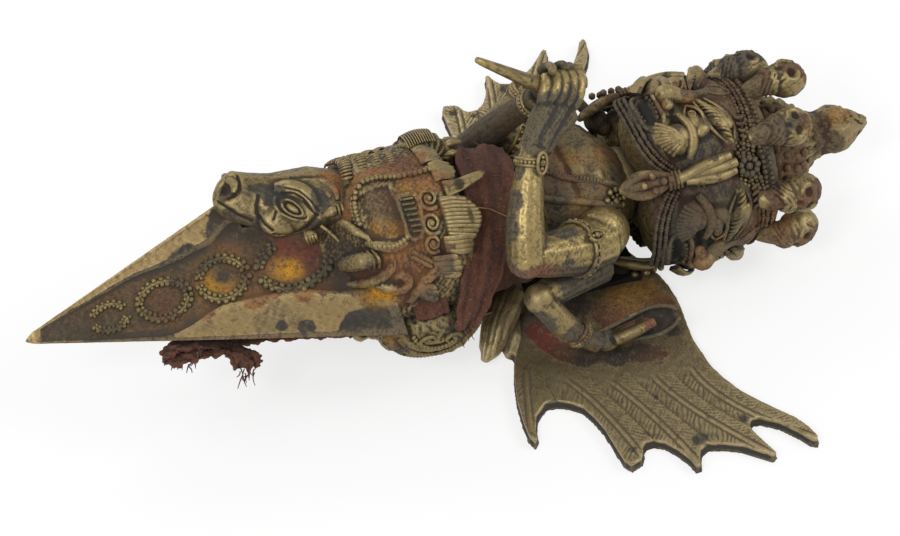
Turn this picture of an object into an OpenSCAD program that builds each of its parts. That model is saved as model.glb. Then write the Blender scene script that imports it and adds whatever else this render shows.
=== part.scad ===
// Three-edged ritual dagger, lying on its back. X runs from the blade tip to the finial,
// the figure faces +Z and its left side is -Y. The flat wing plates rest on z = 0.

/* [Long axis] */
// Height of the blade tip above the resting plane
tip_rise = 50; // [50:1:60]
// Angle at which the long axis falls towards the crown
axis_fall = 2.75; // [1.5:0.25:3]
// Length of the blade from its tip to the apron
blade_l = 134; // [120:2:150]
// Length of the apron block
hip_l = 31; // [28:1:36]
// Length of the waist between the apron and the belly
waist_l = 25; // [20:1:30]
// Length of the torso from the belly to the neck
torso_l = 44; // [40:1:50]
// Height of the three heads
head_l = 50; // [44:1:54]
// Length of the hair bun above the crown
bun_l = 31; // [26:1:36]
// Length of the finial
finial_l = 25; // [18:1:32]

/* [Blade] */
// Reach of the front edge at the root, from the axis
front_edge_r = 53; // [48:1:56]
// Reach of the two rear edges at the root, from the axis
rear_edge_r = 48; // [42:1:49]
// How deep the blade's faces are hollowed, as a share of their radius
face_hollow = 0.22; // [0.1:0.02:0.3]
// Half thickness of the blade's edges at the root
edge_r = 1.8; // [1.2:0.2:2.6]
// Angle by which the lower casting is turned against the figure
blade_turn = 31; // [20:1:32]
// Number of raised snake coils on each face
snake_count = 4; // [2:1:5]
// Radius of the snakes' bodies
snake_r = 1.6; // [1.2:0.1:2]

/* [Horse head] */
// Height of the seat cut into the front edge, from the axis
horse_seat = 20; // [18:0.5:22]
// Length of the horse's head from its muzzle to the apron
horse_l = 52; // [46:1:56]
// Reach of the horse's forehead from the axis
horse_top = 38; // [36:1:42]
// Half width of the horse's cheeks
horse_cheek_w = 17; // [14:0.5:19]

/* [Apron] */
// Reach of the apron's corners from the axis
hip_r = 42; // [38:1:44]
// Number of petals round the apron's hem
petal_count = 18; // [12:2:20]
// Length of the longest hem petals
petal_l = 20; // [16:1:22]
// Radius of the shell scrolls at the blade's root
scroll_r = 13; // [10:0.5:14]

/* [Waist] */
// Radius of the waist under the cloth
waist_r = 15; // [13:0.5:16]
// Radius of the tang that joins the two castings
tang_r = 5; // [4:0.5:7]
// Thickness of the wound cloth
cloth_t = 8; // [6:0.5:9]
// Number of folds round the waist cloth
cloth_folds = 9; // [6:1:12]

/* [Torso] */
// Half width of the chest
chest_w = 24; // [20:1:26]
// Depth of the chest in front of the axis
chest_front = 28; // [24:1:31]
// Depth of the back behind the axis
chest_back = 22; // [18:1:23]

/* [Arms] */
// Radius of the arms at the shoulder
shoulder_r = 9.5; // [8:0.5:10]
// Radius of the arms at the elbow
elbow_r = 6.5; // [5.5:0.5:7]
// Radius of the arms at the wrist
wrist_r = 5.2; // [4.5:0.1:5.6]
// Radius of the fingers
finger_r = 2.1; // [1.8:0.1:2.3]
// Thickness of the bracelets and armlets
band_t = 1.6; // [1.2:0.1:2.2]
// Radius of the pegs in the shoulders
peg_r = 2.5; // [2:0.25:3]

/* [Held things] */
// Length of the small dagger between the hands
dagger_l = 56; // [48:1:64]
// Radius of the small dagger where the hands hold it
dagger_r = 3.2; // [2.6:0.1:3.4]
// Outer radius of the rolled plate in the second left hand
roll_r = 6; // [5:0.25:7]
// Length of the rolled plate
roll_l = 34; // [28:1:38]

/* [Wings] */
// Reach of the wings from the middle line
wing_reach = 122.5; // [110:0.5:130]
// Thickness of the wing plates
wing_t = 4.5; // [3.5:0.25:6]
// Height of the engraved feather shafts
shaft_h = 0.8; // [0.5:0.1:1.2]
// Radius of the rivets that hold the wings
rivet_r = 2.2; // [1.8:0.1:3]
// Thickness of the bracket plate on the wings
bracket_t = 4; // [3:0.5:6]

/* [Heads] */
// Reach of the faces' noses from the axis
nose_reach = 44; // [41:1:46]
// Radius of the neck dowel
dowel_r = 7; // [5:0.5:8]
// Radius of the crown band
crown_r = 33; // [30:1:34]
// Radius of the crown skulls
skull_r = 8; // [6.5:0.5:8.5]
// Radius of the hair bun
bun_r = 17; // [14:0.5:19]

/* [Hidden] */
$fn = 48;
hull_fn = 16;
clear = 0.2;
// Radial clearance of the tang and the neck dowel in their holes
fit = 0.05;

x_hip = blade_l;
x_waist = x_hip + hip_l;
x_torso = x_waist + waist_l;
x_head = x_torso + torso_l;
x_bun = x_head + head_l;
x_finial = x_bun + bun_l;
length = x_finial + finial_l;
x_horse = x_hip - horse_l;

brass = [0.55, 0.45, 0.24];
dark_brass = [0.34, 0.3, 0.22];
pale_brass = [0.68, 0.58, 0.34];
cloth_red = [0.3, 0.1, 0.09];

// Inner face of a mid-face point on the blade, per millimetre from the tip
face_rise = 0.25 * (front_edge_r + rear_edge_r) * (1 - face_hollow) / blade_l;

// Torso sections: place along the torso, then half width, front and back depth
torso_sections = [[-waist_l, waist_r, waist_r, waist_r], [-4, waist_r, waist_r, waist_r],
                  [0, waist_r + 2, waist_r + 2, waist_r + 1],
                  [0.22 * torso_l, chest_w - 4, chest_front - 5, chest_back - 3],
                  [0.5 * torso_l, chest_w, chest_front, chest_back],
                  [0.75 * torso_l, chest_w - 1, chest_front - 1, chest_back - 1],
                  [0.92 * torso_l, chest_w - 6, chest_front - 8, chest_back - 6],
                  [torso_l, 0.55 * chest_w, 0.55 * chest_front, 0.6 * chest_back]];
function section_at(x, k) = lookup(x, [for (s = torso_sections) [s[0], s[k]]]);
// Point on the torso's skin, with the angle measured from the front towards the figure's left
function on_torso(x, a, out = 0) =
    let (depth = cos(a) > 0 ? section_at(x, 2) : section_at(x, 3))
    [x_torso + x, -(section_at(x, 1) + out) * sin(a), (depth + out) * cos(a)];

// Arm joints: shoulder, elbow, wrist and knuckles, on the long axis
x_shoulder = x_torso + 0.55 * torso_l;
arm_gap = shoulder_r + chest_w - 2;
left_front = [[x_shoulder, -arm_gap, 6], [x_shoulder - 30, -42, 18], [x_shoulder - 20, -20, 44.5],
              [x_shoulder - 11, -dagger_r - 7, 52]];
right_front = [[x_shoulder, arm_gap, 6], [x_shoulder - 24, 36, 8], [x_shoulder - 12, 18, 36],
               [x_shoulder - 8, dagger_r + 7, 51]];
left_side = [[x_shoulder + 3, 2 - arm_gap, -12], [x_shoulder - 28, -44, -3], [x_shoulder - 13, -51.5, -20.5],
             [x_shoulder - 3, -52, -26]];
right_side = [[x_shoulder + 3, arm_gap - 2, -12], [x_shoulder - 16, 52, -5], [x_shoulder + 2, 53, 10],
              [x_shoulder + 12, 44, 20]];

// The small dagger's grip and direction
grip = [x_shoulder - 5, 0, 57];
dagger_dir = [0.77, 0, -0.64];
dagger_up = [0.64, 0, 0.77];

// The wing's outline and its five feather shafts, in millimetres from its root on the middle line,
// at a reach of 122.5: five feather tips with hollow notches between them, then the leading edge
wing_edge = [[-36, 0], [-37, 14], [-36, 30], [-35, 38], [-39, 48.5], [-42, 60], [-43.5, 71], [-43.5, 82],
             [-41, 75.5], [-38, 69.5], [-33, 65], [-28, 66], [-24, 68.5], [-20.5, 72.5], [-18, 78.5],
             [-17, 86], [-16, 95], [-15.5, 106], [-8.5, 103], [-6.5, 98.5], [-3, 97.5], [1, 100], [4, 105],
             [6.5, 111], [8, 116.5], [11, 111], [15, 107.5], [21, 109.5], [27.5, 113.5], [36, 122.5],
             [35, 116.5], [33, 106], [36.5, 102.5], [40, 104], [45, 109], [49.5, 116], [53.5, 121.5],
             [53.5, 115], [50.5, 108.5], [45.5, 101.5], [40.5, 94], [36.5, 87.5], [33.5, 79.5],
             [31.5, 72], [31, 64], [31, 56], [31.5, 48], [32.5, 40], [33, 34], [32.5, 26], [31.5, 20],
             [29, 13.5], [24, 0]];
wing_shafts = [[[-33, 46], [-40, 62], [-43, 76]], [[-21, 56], [-14, 76], [-10, 99]],
               [[-6, 62], [1, 84], [8, 112]], [[9, 60], [16, 88], [34, 118]], [[24, 62], [30, 88], [52, 118]]];
wing_root = [x_torso + 22 - length / 2, 12];
wing_scale = wing_reach / 122.5;

module lay() {
    translate([-length * cos(axis_fall) / 2, 0, tip_rise]) rotate([0, axis_fall, 0]) children();
}
// Carry the children to a place along the axis, with +Z outwards at an angle towards the figure's left
module around(x, a) { translate([x, 0, 0]) rotate([a, 0, 0]) children(); }
module lower(x = 0, a = 0) { lay() around(x, a - blade_turn) children(); }
module toward(from, to) {
    way = to - from;
    translate(from) rotate([0, acos(way[2] / norm(way)), atan2(way[1], way[0])]) children();
}
module ball(p, r) { translate(p) sphere(r, $fn = hull_fn); }
module link(a, b, ra, rb) { hull() { ball(a, ra); ball(b, rb); } }
module finger(a, b) {
    toward(a, b) translate([0, 0, -finger_r / 2])
        cylinder(h = norm(b - a) + finger_r, r = finger_r, $fn = 8);
}
module ring(r, t) { rotate_extrude() translate([r, 0]) circle(t); }

// Section of the lower casting: three edges joined by hollow sides
module star(front, rear, hollow, round) {
    reach = [front, rear, rear];
    steps = 6;
    offset(r = round, $fn = 16)
        polygon([for (k = [0:2]) for (i = [0:steps - 1])
            let (t = i / steps, a0 = 90 + 120 * k, a1 = a0 + 120,
                 p = (1 - t) * (reach[k] - round) * [cos(a0), sin(a0)]
                     + t * (reach[(k + 1) % 3] - round) * [cos(a1), sin(a1)])
            p * (1 - hollow * sin(180 * t))]);
}

module blade_body(grow = 0) {
    difference() {
        translate([blade_l, 0, 0]) mirror([1, 0, 0]) rotate([90, 0, 90])
            linear_extrude(height = blade_l, scale = 0.03)
                star(front_edge_r + grow, rear_edge_r + grow, face_hollow, edge_r + grow);
        translate([x_horse, -blade_l / 2, horse_seat + grow]) cube([blade_l, blade_l, blade_l]);
    }
}

module snake_coil(x, r) {
    translate([x, 0, face_rise * x]) rotate([0, -atan(face_rise), 0]) {
        ring(r, snake_r);
        translate([-r, 0, snake_r / 2]) sphere(1.5 * snake_r);
    }
}

module blade() {
    color(brass) lower() difference() {
        union() {
            blade_body();
            for (face = [60, 180, 300], i = [0:snake_count - 1]) {
                x = blade_l * (0.23 + 0.52 * i / (snake_count - 1));
                around(0, face) snake_coil(x, 1.5 + 0.08 * x);
            }
        }
        translate([blade_l - 2 * tang_r, 0, 0]) rotate([0, 90, 0])
            cylinder(h = 2 * tang_r + 1, r = tang_r + fit);
    }
}

module horse_shape() {
    muzzle = [x_horse + 9, 0, horse_top - 5];
    poll = [x_horse + 34, 0, horse_top - 10];
    hull() {
        ball(muzzle, 9);
        ball([x_horse + 22, 0, horse_top - 13], 12);
    }
    hull() for (side = [-1, 1]) {
        ball([x_horse + 24, side * (horse_cheek_w - 9), horse_top - 19], 9);
        ball([x_horse + 34, side * (horse_cheek_w - 8), horse_top - 22], 8);
        ball([x_horse + 26, side * 4, horse_top - 8], 7);
    }
    hull() {
        ball(poll, 10);
        ball([x_hip - 10, 0, horse_top - 12], 10);
        for (side = [-1, 1]) ball([x_hip - 10, side * (horse_cheek_w - 6), horse_seat - 4], 9);
    }
    for (side = [-1, 1]) {
        translate([x_horse + 4, 5.5 * side, horse_top - 3]) rotate([90 * side, 0, 0]) ring(3, 1.2);
        translate([x_horse + 22, 9 * side, horse_top - 8]) sphere(3.6);
        toward([x_horse + 38, 9 * side, horse_top - 12], [x_horse + 33, 18 * side, horse_top - 6])
            cylinder(h = 12, r1 = 4, r2 = 1.2);
    }
}

module horse_head() {
    color(brass) lower() difference() {
        horse_shape();
        blade_body(clear);
        for (face = [60, -60]) around(0, face) rotate([0, -atan(face_rise), 0])
            translate([0, -15, -hip_r]) cube([blade_l + 20, 30, hip_r + snake_r + clear]);
        translate([x_hip - clear / 2, -hip_r, -hip_r]) cube([hip_l, 2 * hip_r, 3 * hip_r]);
    }
}

// Place of the hem along the axis: highest at the front, drawn down towards the rear edges
function hem_x(a) = abs(a) < 110 ? x_waist + 6 - hip_l * pow(abs(a) / 102, 5) : x_waist;
module petal(a) {
    flare = 28;
    l = min(petal_l, (hem_x(a) - x_hip - 1) / cos(flare));
    w = min(13, l);
    around(hem_x(a) - l * cos(flare), a) translate([0, 0, 0.74 * hip_r]) rotate([0, -flare, 0])
        translate([0, 0, -2]) linear_extrude(3.5) {
            translate([l - w / 2, 0]) circle(w / 2, $fn = 12);
            translate([0, -w / 2]) square([max(0.1, l - w / 2), w]);
        }
}

module skull(r) {
    difference() {
        union() {
            sphere(r);
            translate([-0.75 * r, 0, 0.1 * r]) sphere(0.6 * r);
        }
        for (side = [-1, 1]) translate([-0.15 * r, 0.42 * r * side, 0.95 * r]) sphere(0.3 * r);
        translate([-0.7 * r, 0, 0.75 * r]) sphere(0.18 * r);
    }
}

module hip_block() {
    mid = x_hip + hip_l / 2;
    color(brass) lower() difference() {
        union() {
            translate([x_hip, 0, 0]) rotate([90, 0, 90]) linear_extrude(height = hip_l, scale = 0.86)
                star(hip_r - 4, hip_r + 3, -0.3, 6);
            for (i = [0:petal_count - 1]) petal(360 * i / petal_count - 180);
            for (face = [-60, 60], way = [-1, 1]) around(mid - 4, face)
                translate([0, 9 * way, 0.74 * hip_r]) difference() {
                    cylinder(h = 4, r = 6, $fn = 12);
                    translate([0, 0, 2]) cylinder(h = 3, r = 3.4, $fn = 12);
                }
            translate([mid + 3, 0, hip_r - 6]) skull(7);
        }
        translate([x_hip - 1, 0, 0]) rotate([0, 90, 0]) cylinder(h = hip_l + 2, r = tang_r + fit);
        for (side = [-1, 1]) around(mid, 128 * side) scroll_blank(clear);
    }
}

// Space of a shell scroll, from its seat in the apron block outwards
module scroll_blank(grow = 0) { translate([0, 0, hip_r - 12 - grow]) cylinder(h = 30, r = scroll_r + grow); }

module root_scroll(side) {
    dome = [for (a = [0:15:90]) [scroll_r * cos(a), 7 * sin(a)]];
    color(dark_brass) lower() around(x_hip + hip_l / 2, 128 * side) translate([0, 0, hip_r - 12]) {
        cylinder(h = 6, r = scroll_r);
        translate([0, 0, 6]) rotate_extrude() polygon(concat([[0, 0]], dome));
        for (share = [0.45, 0.75]) translate([0, 0, 6 + 7 * sqrt(1 - share * share)])
            ring(share * scroll_r, 0.9);
    }
}
module root_scroll_left() { root_scroll(1); }
module root_scroll_right() { root_scroll(-1); }

module tang() {
    color(pale_brass) lay() translate([x_hip - 2 * tang_r, 0, 0]) rotate([0, 90, 0])
        cylinder(h = hip_l + waist_l + 4 * tang_r, r = tang_r);
}

// Outer radius of the waist cloth: folds run along it and it hangs low on the near side
function cloth_r(a, t) = waist_r + 7 * pow(max(0, cos(a - 118)), 2) * (1 - t)
    + cloth_t * (0.55 + 0.45 * sin(180 * t)) * (1 + 0.14 * cos(cloth_folds * a + 70 * t));
module waist_cloth() {
    turns = 54;
    rings = 8;
    cloth_l = waist_l + 5;
    inner = waist_r + clear;
    outside = [for (j = [0:rings]) for (i = [0:turns - 1])
        let (a = 360 * i / turns, t = j / rings, r = cloth_r(a, t)) [cloth_l * t, -r * sin(a), r * cos(a)]];
    inside = [for (j = [0, 1]) for (i = [0:turns - 1])
        let (a = 360 * i / turns) [cloth_l * j, -inner * sin(a), inner * cos(a)]];
    base = len(outside);
    faces = concat(
        [for (j = [0:rings - 1]) for (i = [0:turns - 1]) let (k = (i + 1) % turns)
            each [[j * turns + i, (j + 1) * turns + i, (j + 1) * turns + k],
                  [j * turns + i, (j + 1) * turns + k, j * turns + k]]],
        [for (i = [0:turns - 1]) let (k = (i + 1) % turns, a = base + i, b = base + k)
            each [[a, b + turns, a + turns], [a, b, b + turns], [i, k, b], [i, b, a],
                  [rings * turns + i, a + turns, b + turns],
                  [rings * turns + i, b + turns, rings * turns + k]]]);
    color(cloth_red) lay() translate([x_waist + clear, 0, 0]) difference() {
        polyhedron(points = concat(outside, inside), faces = faces);
        translate([-x_waist - clear, 0, 0]) torso_body(clear);
    }
}

// A flat strip under the rear face of the blade, then the crumpled and frayed end
function under(x) = -face_rise * x - 2 * snake_r - 2.2;
module strip_end(x) { translate([x, 0, under(x)]) cube([2, 14, 4], center = true); }
module cloth_tail() {
    strip_x = [x_hip - 2, x_hip - 32, x_hip - 62];
    color(cloth_red) lower() difference() {
        union() {
            for (i = [0:1]) hull() for (x = [strip_x[i], strip_x[i + 1]]) strip_end(x);
            hull() {
                strip_end(strip_x[2]);
                ball([strip_x[2] - 6, -6, under(strip_x[2]) - 5], 6);
                ball([strip_x[2] + 2, 7, under(strip_x[2]) - 4], 6);
            }
            hull() {
                ball([strip_x[2] - 4, -8, under(strip_x[2]) - 6], 6.5);
                ball([strip_x[2] - 18, -14, under(strip_x[2]) - 4], 3.5);
            }
            hull() {
                ball([strip_x[2] - 2, -10, under(strip_x[2]) - 8], 6.5);
                ball([strip_x[2] + 10, -16, under(strip_x[2]) - 10], 4);
            }
        }
        blade_body(clear);
    }
}

module torso_body(grow = 0) {
    sides = 36;
    rows = [for (s = torso_sections) s[0]];
    skin = [for (x = rows) for (i = [0:sides - 1]) on_torso(x, 360 * i / sides, grow)];
    last = (len(rows) - 1) * sides;
    polyhedron(points = skin, faces = concat(
        [[for (i = [0:sides - 1]) i]], [[for (i = [sides - 1:-1:0]) last + i]],
        [for (j = [0:len(rows) - 2]) for (i = [0:sides - 1]) let (k = (i + 1) % sides, a = j * sides)
            each [[a + i, a + sides + i, a + sides + k], [a + i, a + sides + k, a + k]]]));
}

module torso() {
    color(brass) lay() difference() {
        torso_body();
        translate([x_waist - 1, 0, 0]) rotate([0, 90, 0])
            cylinder(h = waist_l + 2 * tang_r + 1, r = tang_r + fit);
        translate([x_head - 2 * dowel_r, 0, 0]) rotate([0, 90, 0])
            cylinder(h = 3 * dowel_r, r = dowel_r + fit);
        shoulder_pegs();
    }
}

// Pegs run from the chest into each shoulder
module shoulder_pegs() {
    for (arm = [left_front, right_front, left_side, right_side]) {
        side = sign(arm[0][1]);
        translate([arm[0][0], (chest_w - 9) * side, arm[0][2]]) rotate([-90 * side, 0, 0])
            cylinder(h = 9 + shoulder_r, r = peg_r);
    }
}
module arm_pegs() { color(pale_brass) lay() shoulder_pegs(); }

module arm(joints, upper, turn_in = 0) {
    difference() {
        union() {
            link(joints[0], joints[1], upper, elbow_r);
            link(joints[1], joints[2], elbow_r, wrist_r);
            link(joints[2], joints[3], wrist_r - 0.4, 5.6);
        }
        translate([x_torso - 10, -chest_w - clear, -60]) cube([torso_l + 20, 2 * (chest_w + clear), 80]);
        shoulder_pegs();
    }
}

// Fingers that close over the small dagger, from one side and at a height above it
function finger_root(i) = grip + dagger_dir * (2.05 * finger_r * i - 7);
function knuckle_at(i, side, lift) = finger_root(i) + dagger_up * (lift - 2) + [0, 8.6 * side, 0];
module dagger_palm(wrist_end, side, lift) {
    hull() {
        ball(wrist_end, 5.6);
        for (i = [0, 3]) ball(knuckle_at(i, side, lift), 2.6);
    }
}
module dagger_fingers(side, lift) {
    for (i = [0:3]) {
        root = finger_root(i);
        knuckle = knuckle_at(i, side, lift);
        bend = root + dagger_up * (lift + 2.6) + [0, 5.2 * side, 0];
        finger(knuckle, bend);
        finger(bend, root + dagger_up * (lift + 3.4) - [0, 1.5 * side, 0]);
    }
}

module arm_front_left() {
    color(brass) lay() {
        arm(left_front, shoulder_r);
        dagger_palm(left_front[3], -1, 2.4);
        dagger_fingers(-1, 2.4);
    }
}
module arm_front_right() {
    color(dark_brass) lay() difference() {
        union() {
            arm(right_front, shoulder_r);
            dagger_palm(right_front[3], 1, 2.6 + 2 * finger_r);
            dagger_fingers(1, 2.6 + 2 * finger_r);
        }
        translate([x_shoulder - 40, -40, -10]) cube([80, 40 - 3, 90]);
        dagger_fingers(-1, 2.4 + clear);
    }
}
module side_fingers(joints, way) {
    for (i = [-1.5:1:1.5]) {
        root = joints[3] + [2, 2.1 * finger_r * i, 1];
        finger(root, root + way);
    }
}
module arm_side_left() {
    color(dark_brass) lay() difference() {
        union() {
            arm(left_side, shoulder_r - 2.5);
            side_fingers(left_side, [10, 0, -1]);
        }
        left_roll_space(clear);
        link(left_front[0], left_front[1], shoulder_r + clear, elbow_r + clear);
    }
}
module arm_side_right() {
    color(dark_brass) lay() difference() {
        union() {
            arm(right_side, shoulder_r - 2.5);
            side_fingers(right_side, [8, -4, 5]);
        }
        link(right_front[0], right_front[1], shoulder_r + clear, elbow_r + clear);
        handle(clear);
    }
}

// A band with a rosette on its outer side, around a limb at a share of the way along it
module limb_band(joints, k, share, ends, face) {
    r = ends[0] + share * (ends[1] - ends[0]) + clear;
    from = joints[k];
    to = joints[k + 1];
    way = (to - from) / norm(to - from);
    middle = from + share * (to - from);
    toward(middle, to) ring(r + band_t, band_t);
    toward(middle, middle + face - (face * way) * way) translate([0, 0, r + band_t]) {
        cylinder(h = 2.2 * band_t, r = 3.4);
        for (i = [0:6]) rotate([0, 0, 360 * i / 7]) translate([3.4, 0, 0])
            cylinder(h = 1.6 * band_t, r = 1.5);
    }
}
module bracelets() {
    forearm = [elbow_r, wrist_r];
    color(pale_brass) lay() {
        limb_band(left_front, 1, 0.9, forearm, [-0.2, -1, 0.35]);
        limb_band(right_front, 1, 0.9, forearm, [-0.3, 0.8, 0.5]);
        limb_band(left_side, 1, 0.9, forearm, [0.2, -1, 0.1]);
        limb_band(right_side, 1, 0.72, forearm, [-0.2, 1, 0.1]);
    }
}
module armlets() {
    color(pale_brass) lay() for (joints = [left_front, right_front])
        limb_band(joints, 0, 0.5, [shoulder_r, elbow_r], [-0.25, sign(joints[0][1]), 0.55]);
}

module held_dagger() {
    tip = grip - dagger_dir * (dagger_l - 18);
    color(pale_brass) lay() toward(tip, grip) {
        cylinder(h = dagger_l - 18, r1 = 1.6, r2 = dagger_r);
        translate([0, 0, dagger_l - 18]) cylinder(h = 12, r = dagger_r);
        translate([0, 0, dagger_l - 5]) sphere(1.35 * dagger_r);
        translate([0, 0, 14]) ring(dagger_r - 0.6, 0.9);
    }
}

// The rolled plate lies along the axis in the second left hand
roll_at = left_side[3] + [-6, -finger_r - 3, 5];
roll_lean = 7;
module left_roll_space(grow = 0) {
    translate(roll_at) rotate([0, 90 - roll_lean, 0]) translate([0, 0, -2])
        cylinder(h = roll_l + 4, r = roll_r + grow);
}
module attribute_left() {
    wall = 1.6;
    color(dark_brass) lay() translate(roll_at) rotate([0, 90 - roll_lean, 0]) difference() {
        cylinder(h = roll_l, r = roll_r);
        translate([0, 0, -1]) cylinder(h = roll_l + 2, r = roll_r - wall);
        translate([-2 * roll_r, -roll_r / 2, -1]) cube([2 * roll_r, roll_r, roll_l + 2]);
    }
}
// The short rod with a knob at each end, held in the second right hand
module handle(grow = 0) {
    from = right_side[3] + [2, -2.5, 7];
    rod_l = 16;
    toward(from, from + [1, -0.4, 0.2]) {
        cylinder(h = rod_l, r = 2.4 + grow);
        for (end = [0, 1]) translate([0, 0, rod_l * end]) {
            sphere(4.6 + grow);
            translate([0, 0, 6 * end - 3]) sphere(3 + grow);
        }
    }
}
module attribute_right() { color(brass) lay() handle(); }

// Direction straight out of the torso's skin
function skin_normal(x, a) =
    let (n = cross(on_torso(x, a + 4) - on_torso(x, a - 4), on_torso(x + 2, a) - on_torso(x - 2, a)))
    n * sign(n * [0, -sin(a), cos(a)]) / norm(n);
module necklace() {
    beads = 17;
    bead_r = 1.7;
    color(pale_brass) lay() for (i = [0:beads - 1]) {
        t = 2 * i / (beads - 1) - 1;
        a = 44 * sign(t) * pow(abs(t), 0.75);
        x = torso_l * (0.24 + 0.66 * pow(abs(t), 1.35));
        translate(on_torso(x, a) + (bead_r + clear) * skin_normal(x, a)) sphere(bead_r);
    }
}
module shoulder_rosettes() {
    x = 0.84 * torso_l;
    color(pale_brass) lay() for (side = [-1, 1]) {
        n = skin_normal(x, 66 * side);
        p = on_torso(x, 66 * side) + 1.5 * clear * n;
        toward(p, p + n) {
            cylinder(h = 3, r = 4.6);
            translate([0, 0, 3]) sphere(2.6);
            for (i = [0:7]) rotate([0, 0, 45 * i]) translate([4.6, 0, 0]) cylinder(h = 2.2, r = 1.9);
        }
    }
}

module neck_dowel() {
    color(pale_brass) lay() translate([x_head - 2 * dowel_r, 0, 0]) rotate([0, 90, 0])
        cylinder(h = head_l + bun_l + 2 * dowel_r, r = dowel_r);
}

module wedge(from, to, grow = 0) {
    far = 3 * crown_r;
    rotate([90, 0, 90]) translate([0, 0, -1]) linear_extrude(length)
        offset(delta = -grow) polygon(concat([[0, 0]],
            [for (i = [0:4]) let (a = from + (to - from) * i / 4) far * [-sin(a), cos(a)]]));
}

// One face, looking out along +Z with its crown towards +X
module face() {
    brow = x_head + 0.68 * head_l;
    hull() {
        ball([x_head + 0.52 * head_l, 0, nose_reach - 27], 21);
        ball([x_head + 0.2 * head_l, 0, nose_reach - 18], 9);
        ball([x_head + 0.82 * head_l, 0, nose_reach - 25], 17);
    }
    hull() {
        ball([x_head + 0.42 * head_l, 0, nose_reach - 4], 4);
        ball([brow - 2, 0, nose_reach - 8], 2.6);
    }
    for (side = [-1, 1]) {
        translate([brow - 7, 9 * side, nose_reach - 9.5]) sphere(4.4);
        translate([x_head + 0.36 * head_l, 11 * side, nose_reach - 12]) sphere(6.5);
        hull() {
            ball([brow, 4 * side, nose_reach - 6.5], 2.2);
            ball([brow + 2, 15 * side, nose_reach - 12], 2.2);
        }
    }
    translate([x_head + 0.27 * head_l, 0, nose_reach - 8.5]) ring(5, 1.8);
}

// Each of the three faces fills a wedge of this half angle; the hair fills the rest
half_face = 49;
ear_angles = [-half_face, half_face, 3 * half_face, -3 * half_face];
module head(mid, half) {
    lay() intersection() {
        difference() {
            around(0, mid) face();
            translate([x_head - 1, 0, 0]) rotate([0, 90, 0]) cylinder(h = head_l + 2, r = dowel_r + fit);
            ear_spaces(clear);
            torso_body(clear);
            translate([x_bun, -60, -60]) cube([60, 120, 120]);
        }
        wedge(mid - half, mid + half, clear / 2);
    }
}
module head_centre() { color(brass) head(0, half_face); }
module head_left() { color(dark_brass) head(2 * half_face, half_face); }
module head_right() { color(dark_brass) head(-2 * half_face, half_face); }

// Ears and their flame ornaments stand in the corners between the faces
module ear_leaf(grow = 0) {
    translate([x_head + 0.38 * head_l, 2.5 + grow, 25 - grow]) rotate([90, 0, 0])
        linear_extrude(5 + 2 * grow) offset(delta = grow) {
            circle(6.5);
            polygon([[-4, 5], [14, -1], [17, 10], [9, 8], [8, 13], [1, 11]]);
        }
}
module ear_spaces(grow) { for (a = ear_angles) around(0, a) ear_leaf(grow); }
module ear_ornaments() {
    color(pale_brass) lay() difference() {
        for (a = ear_angles) around(0, a) ear_leaf();
        torso_body(clear);
    }
}

band_h = 4;
module crown_band() {
    beads = 30;
    color(brass) lay() translate([x_bun, 0, 0]) rotate([0, 90, 0]) {
        difference() {
            cylinder(h = band_h, r = crown_r);
            translate([0, 0, -1]) cylinder(h = band_h + 2, r = dowel_r + fit);
        }
        for (i = [0:beads - 1]) rotate([0, 0, 360 * i / beads]) translate([crown_r - 0.6, 0, band_h / 2])
            sphere(band_h / 2 - 0.2);
    }
}

// Angle of each crown skull and its height above the band
skull_seats = [[-112, 1.5], [-68, 1.5], [-25, 0.5], [4, 6.5], [38, 1], [78, 0.5], [112, 1]];
module crown_skulls() {
    x = x_bun + band_h;
    color(pale_brass) lay() for (seat = skull_seats) around(x, seat[0]) difference() {
        union() {
            hull() {
                translate([0, 0, crown_r - 5]) rotate([0, 90, 0]) cylinder(h = 0.5, r = 4);
                translate([skull_r + seat[1] - 3, 0, crown_r + 2]) sphere(3);
            }
            translate([skull_r + seat[1], 0, crown_r + 3]) skull(skull_r);
        }
        translate([-bun_l, -skull_r, 0]) cube([bun_l, 2 * skull_r, 2 * crown_r]);
    }
}

module hair_bun() {
    x = x_bun + band_h;
    top = bun_l - band_h;
    color(dark_brass) lay() difference() {
        translate([x, 0, 0]) rotate([0, 90, 0]) rotate_extrude() difference() {
            union() {
                square([bun_r, top - 6]);
                translate([0, top - 6]) square([0.62 * bun_r, 6]);
                for (i = [0:3]) translate([bun_r, 2.5 + i * (top - 11) / 3]) circle(2.4);
                translate([0.62 * bun_r, top - 3]) circle(2.2);
            }
            translate([-bun_r, -bun_l]) square([bun_r, 3 * bun_l]);
        }
        translate([x - 4, 0, 0]) rotate([0, 90, 0]) cylinder(h = bun_l + 5, r = dowel_r + fit);
    }
}
module hair_back() {
    color(dark_brass) lay() difference() {
        intersection() {
            translate([x_head + 5, 0, 0]) rotate([0, 90, 0])
                cylinder(h = head_l - 5 - clear, r = crown_r - 2);
            wedge(3 * half_face, 360 - 3 * half_face, clear / 2);
        }
        translate([x_head, 0, 0]) rotate([0, 90, 0]) cylinder(h = head_l + 2, r = dowel_r + fit);
        ear_spaces(clear);
    }
}

module finial() {
    color(pale_brass) lay() translate([x_finial, 0, 0]) rotate([0, 90, 0]) {
        rotate_extrude() polygon([[0, 0], [8, 0], [9, 3], [7, 5], [8.5, 9], [7, 13], [3.5, 0.72 * finial_l],
                                  [1.2, finial_l - 1], [0, finial_l]]);
        for (i = [0:7]) rotate([0, 0, 45 * i]) translate([8, 0, 3]) sphere(1.8);
    }
}

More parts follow.
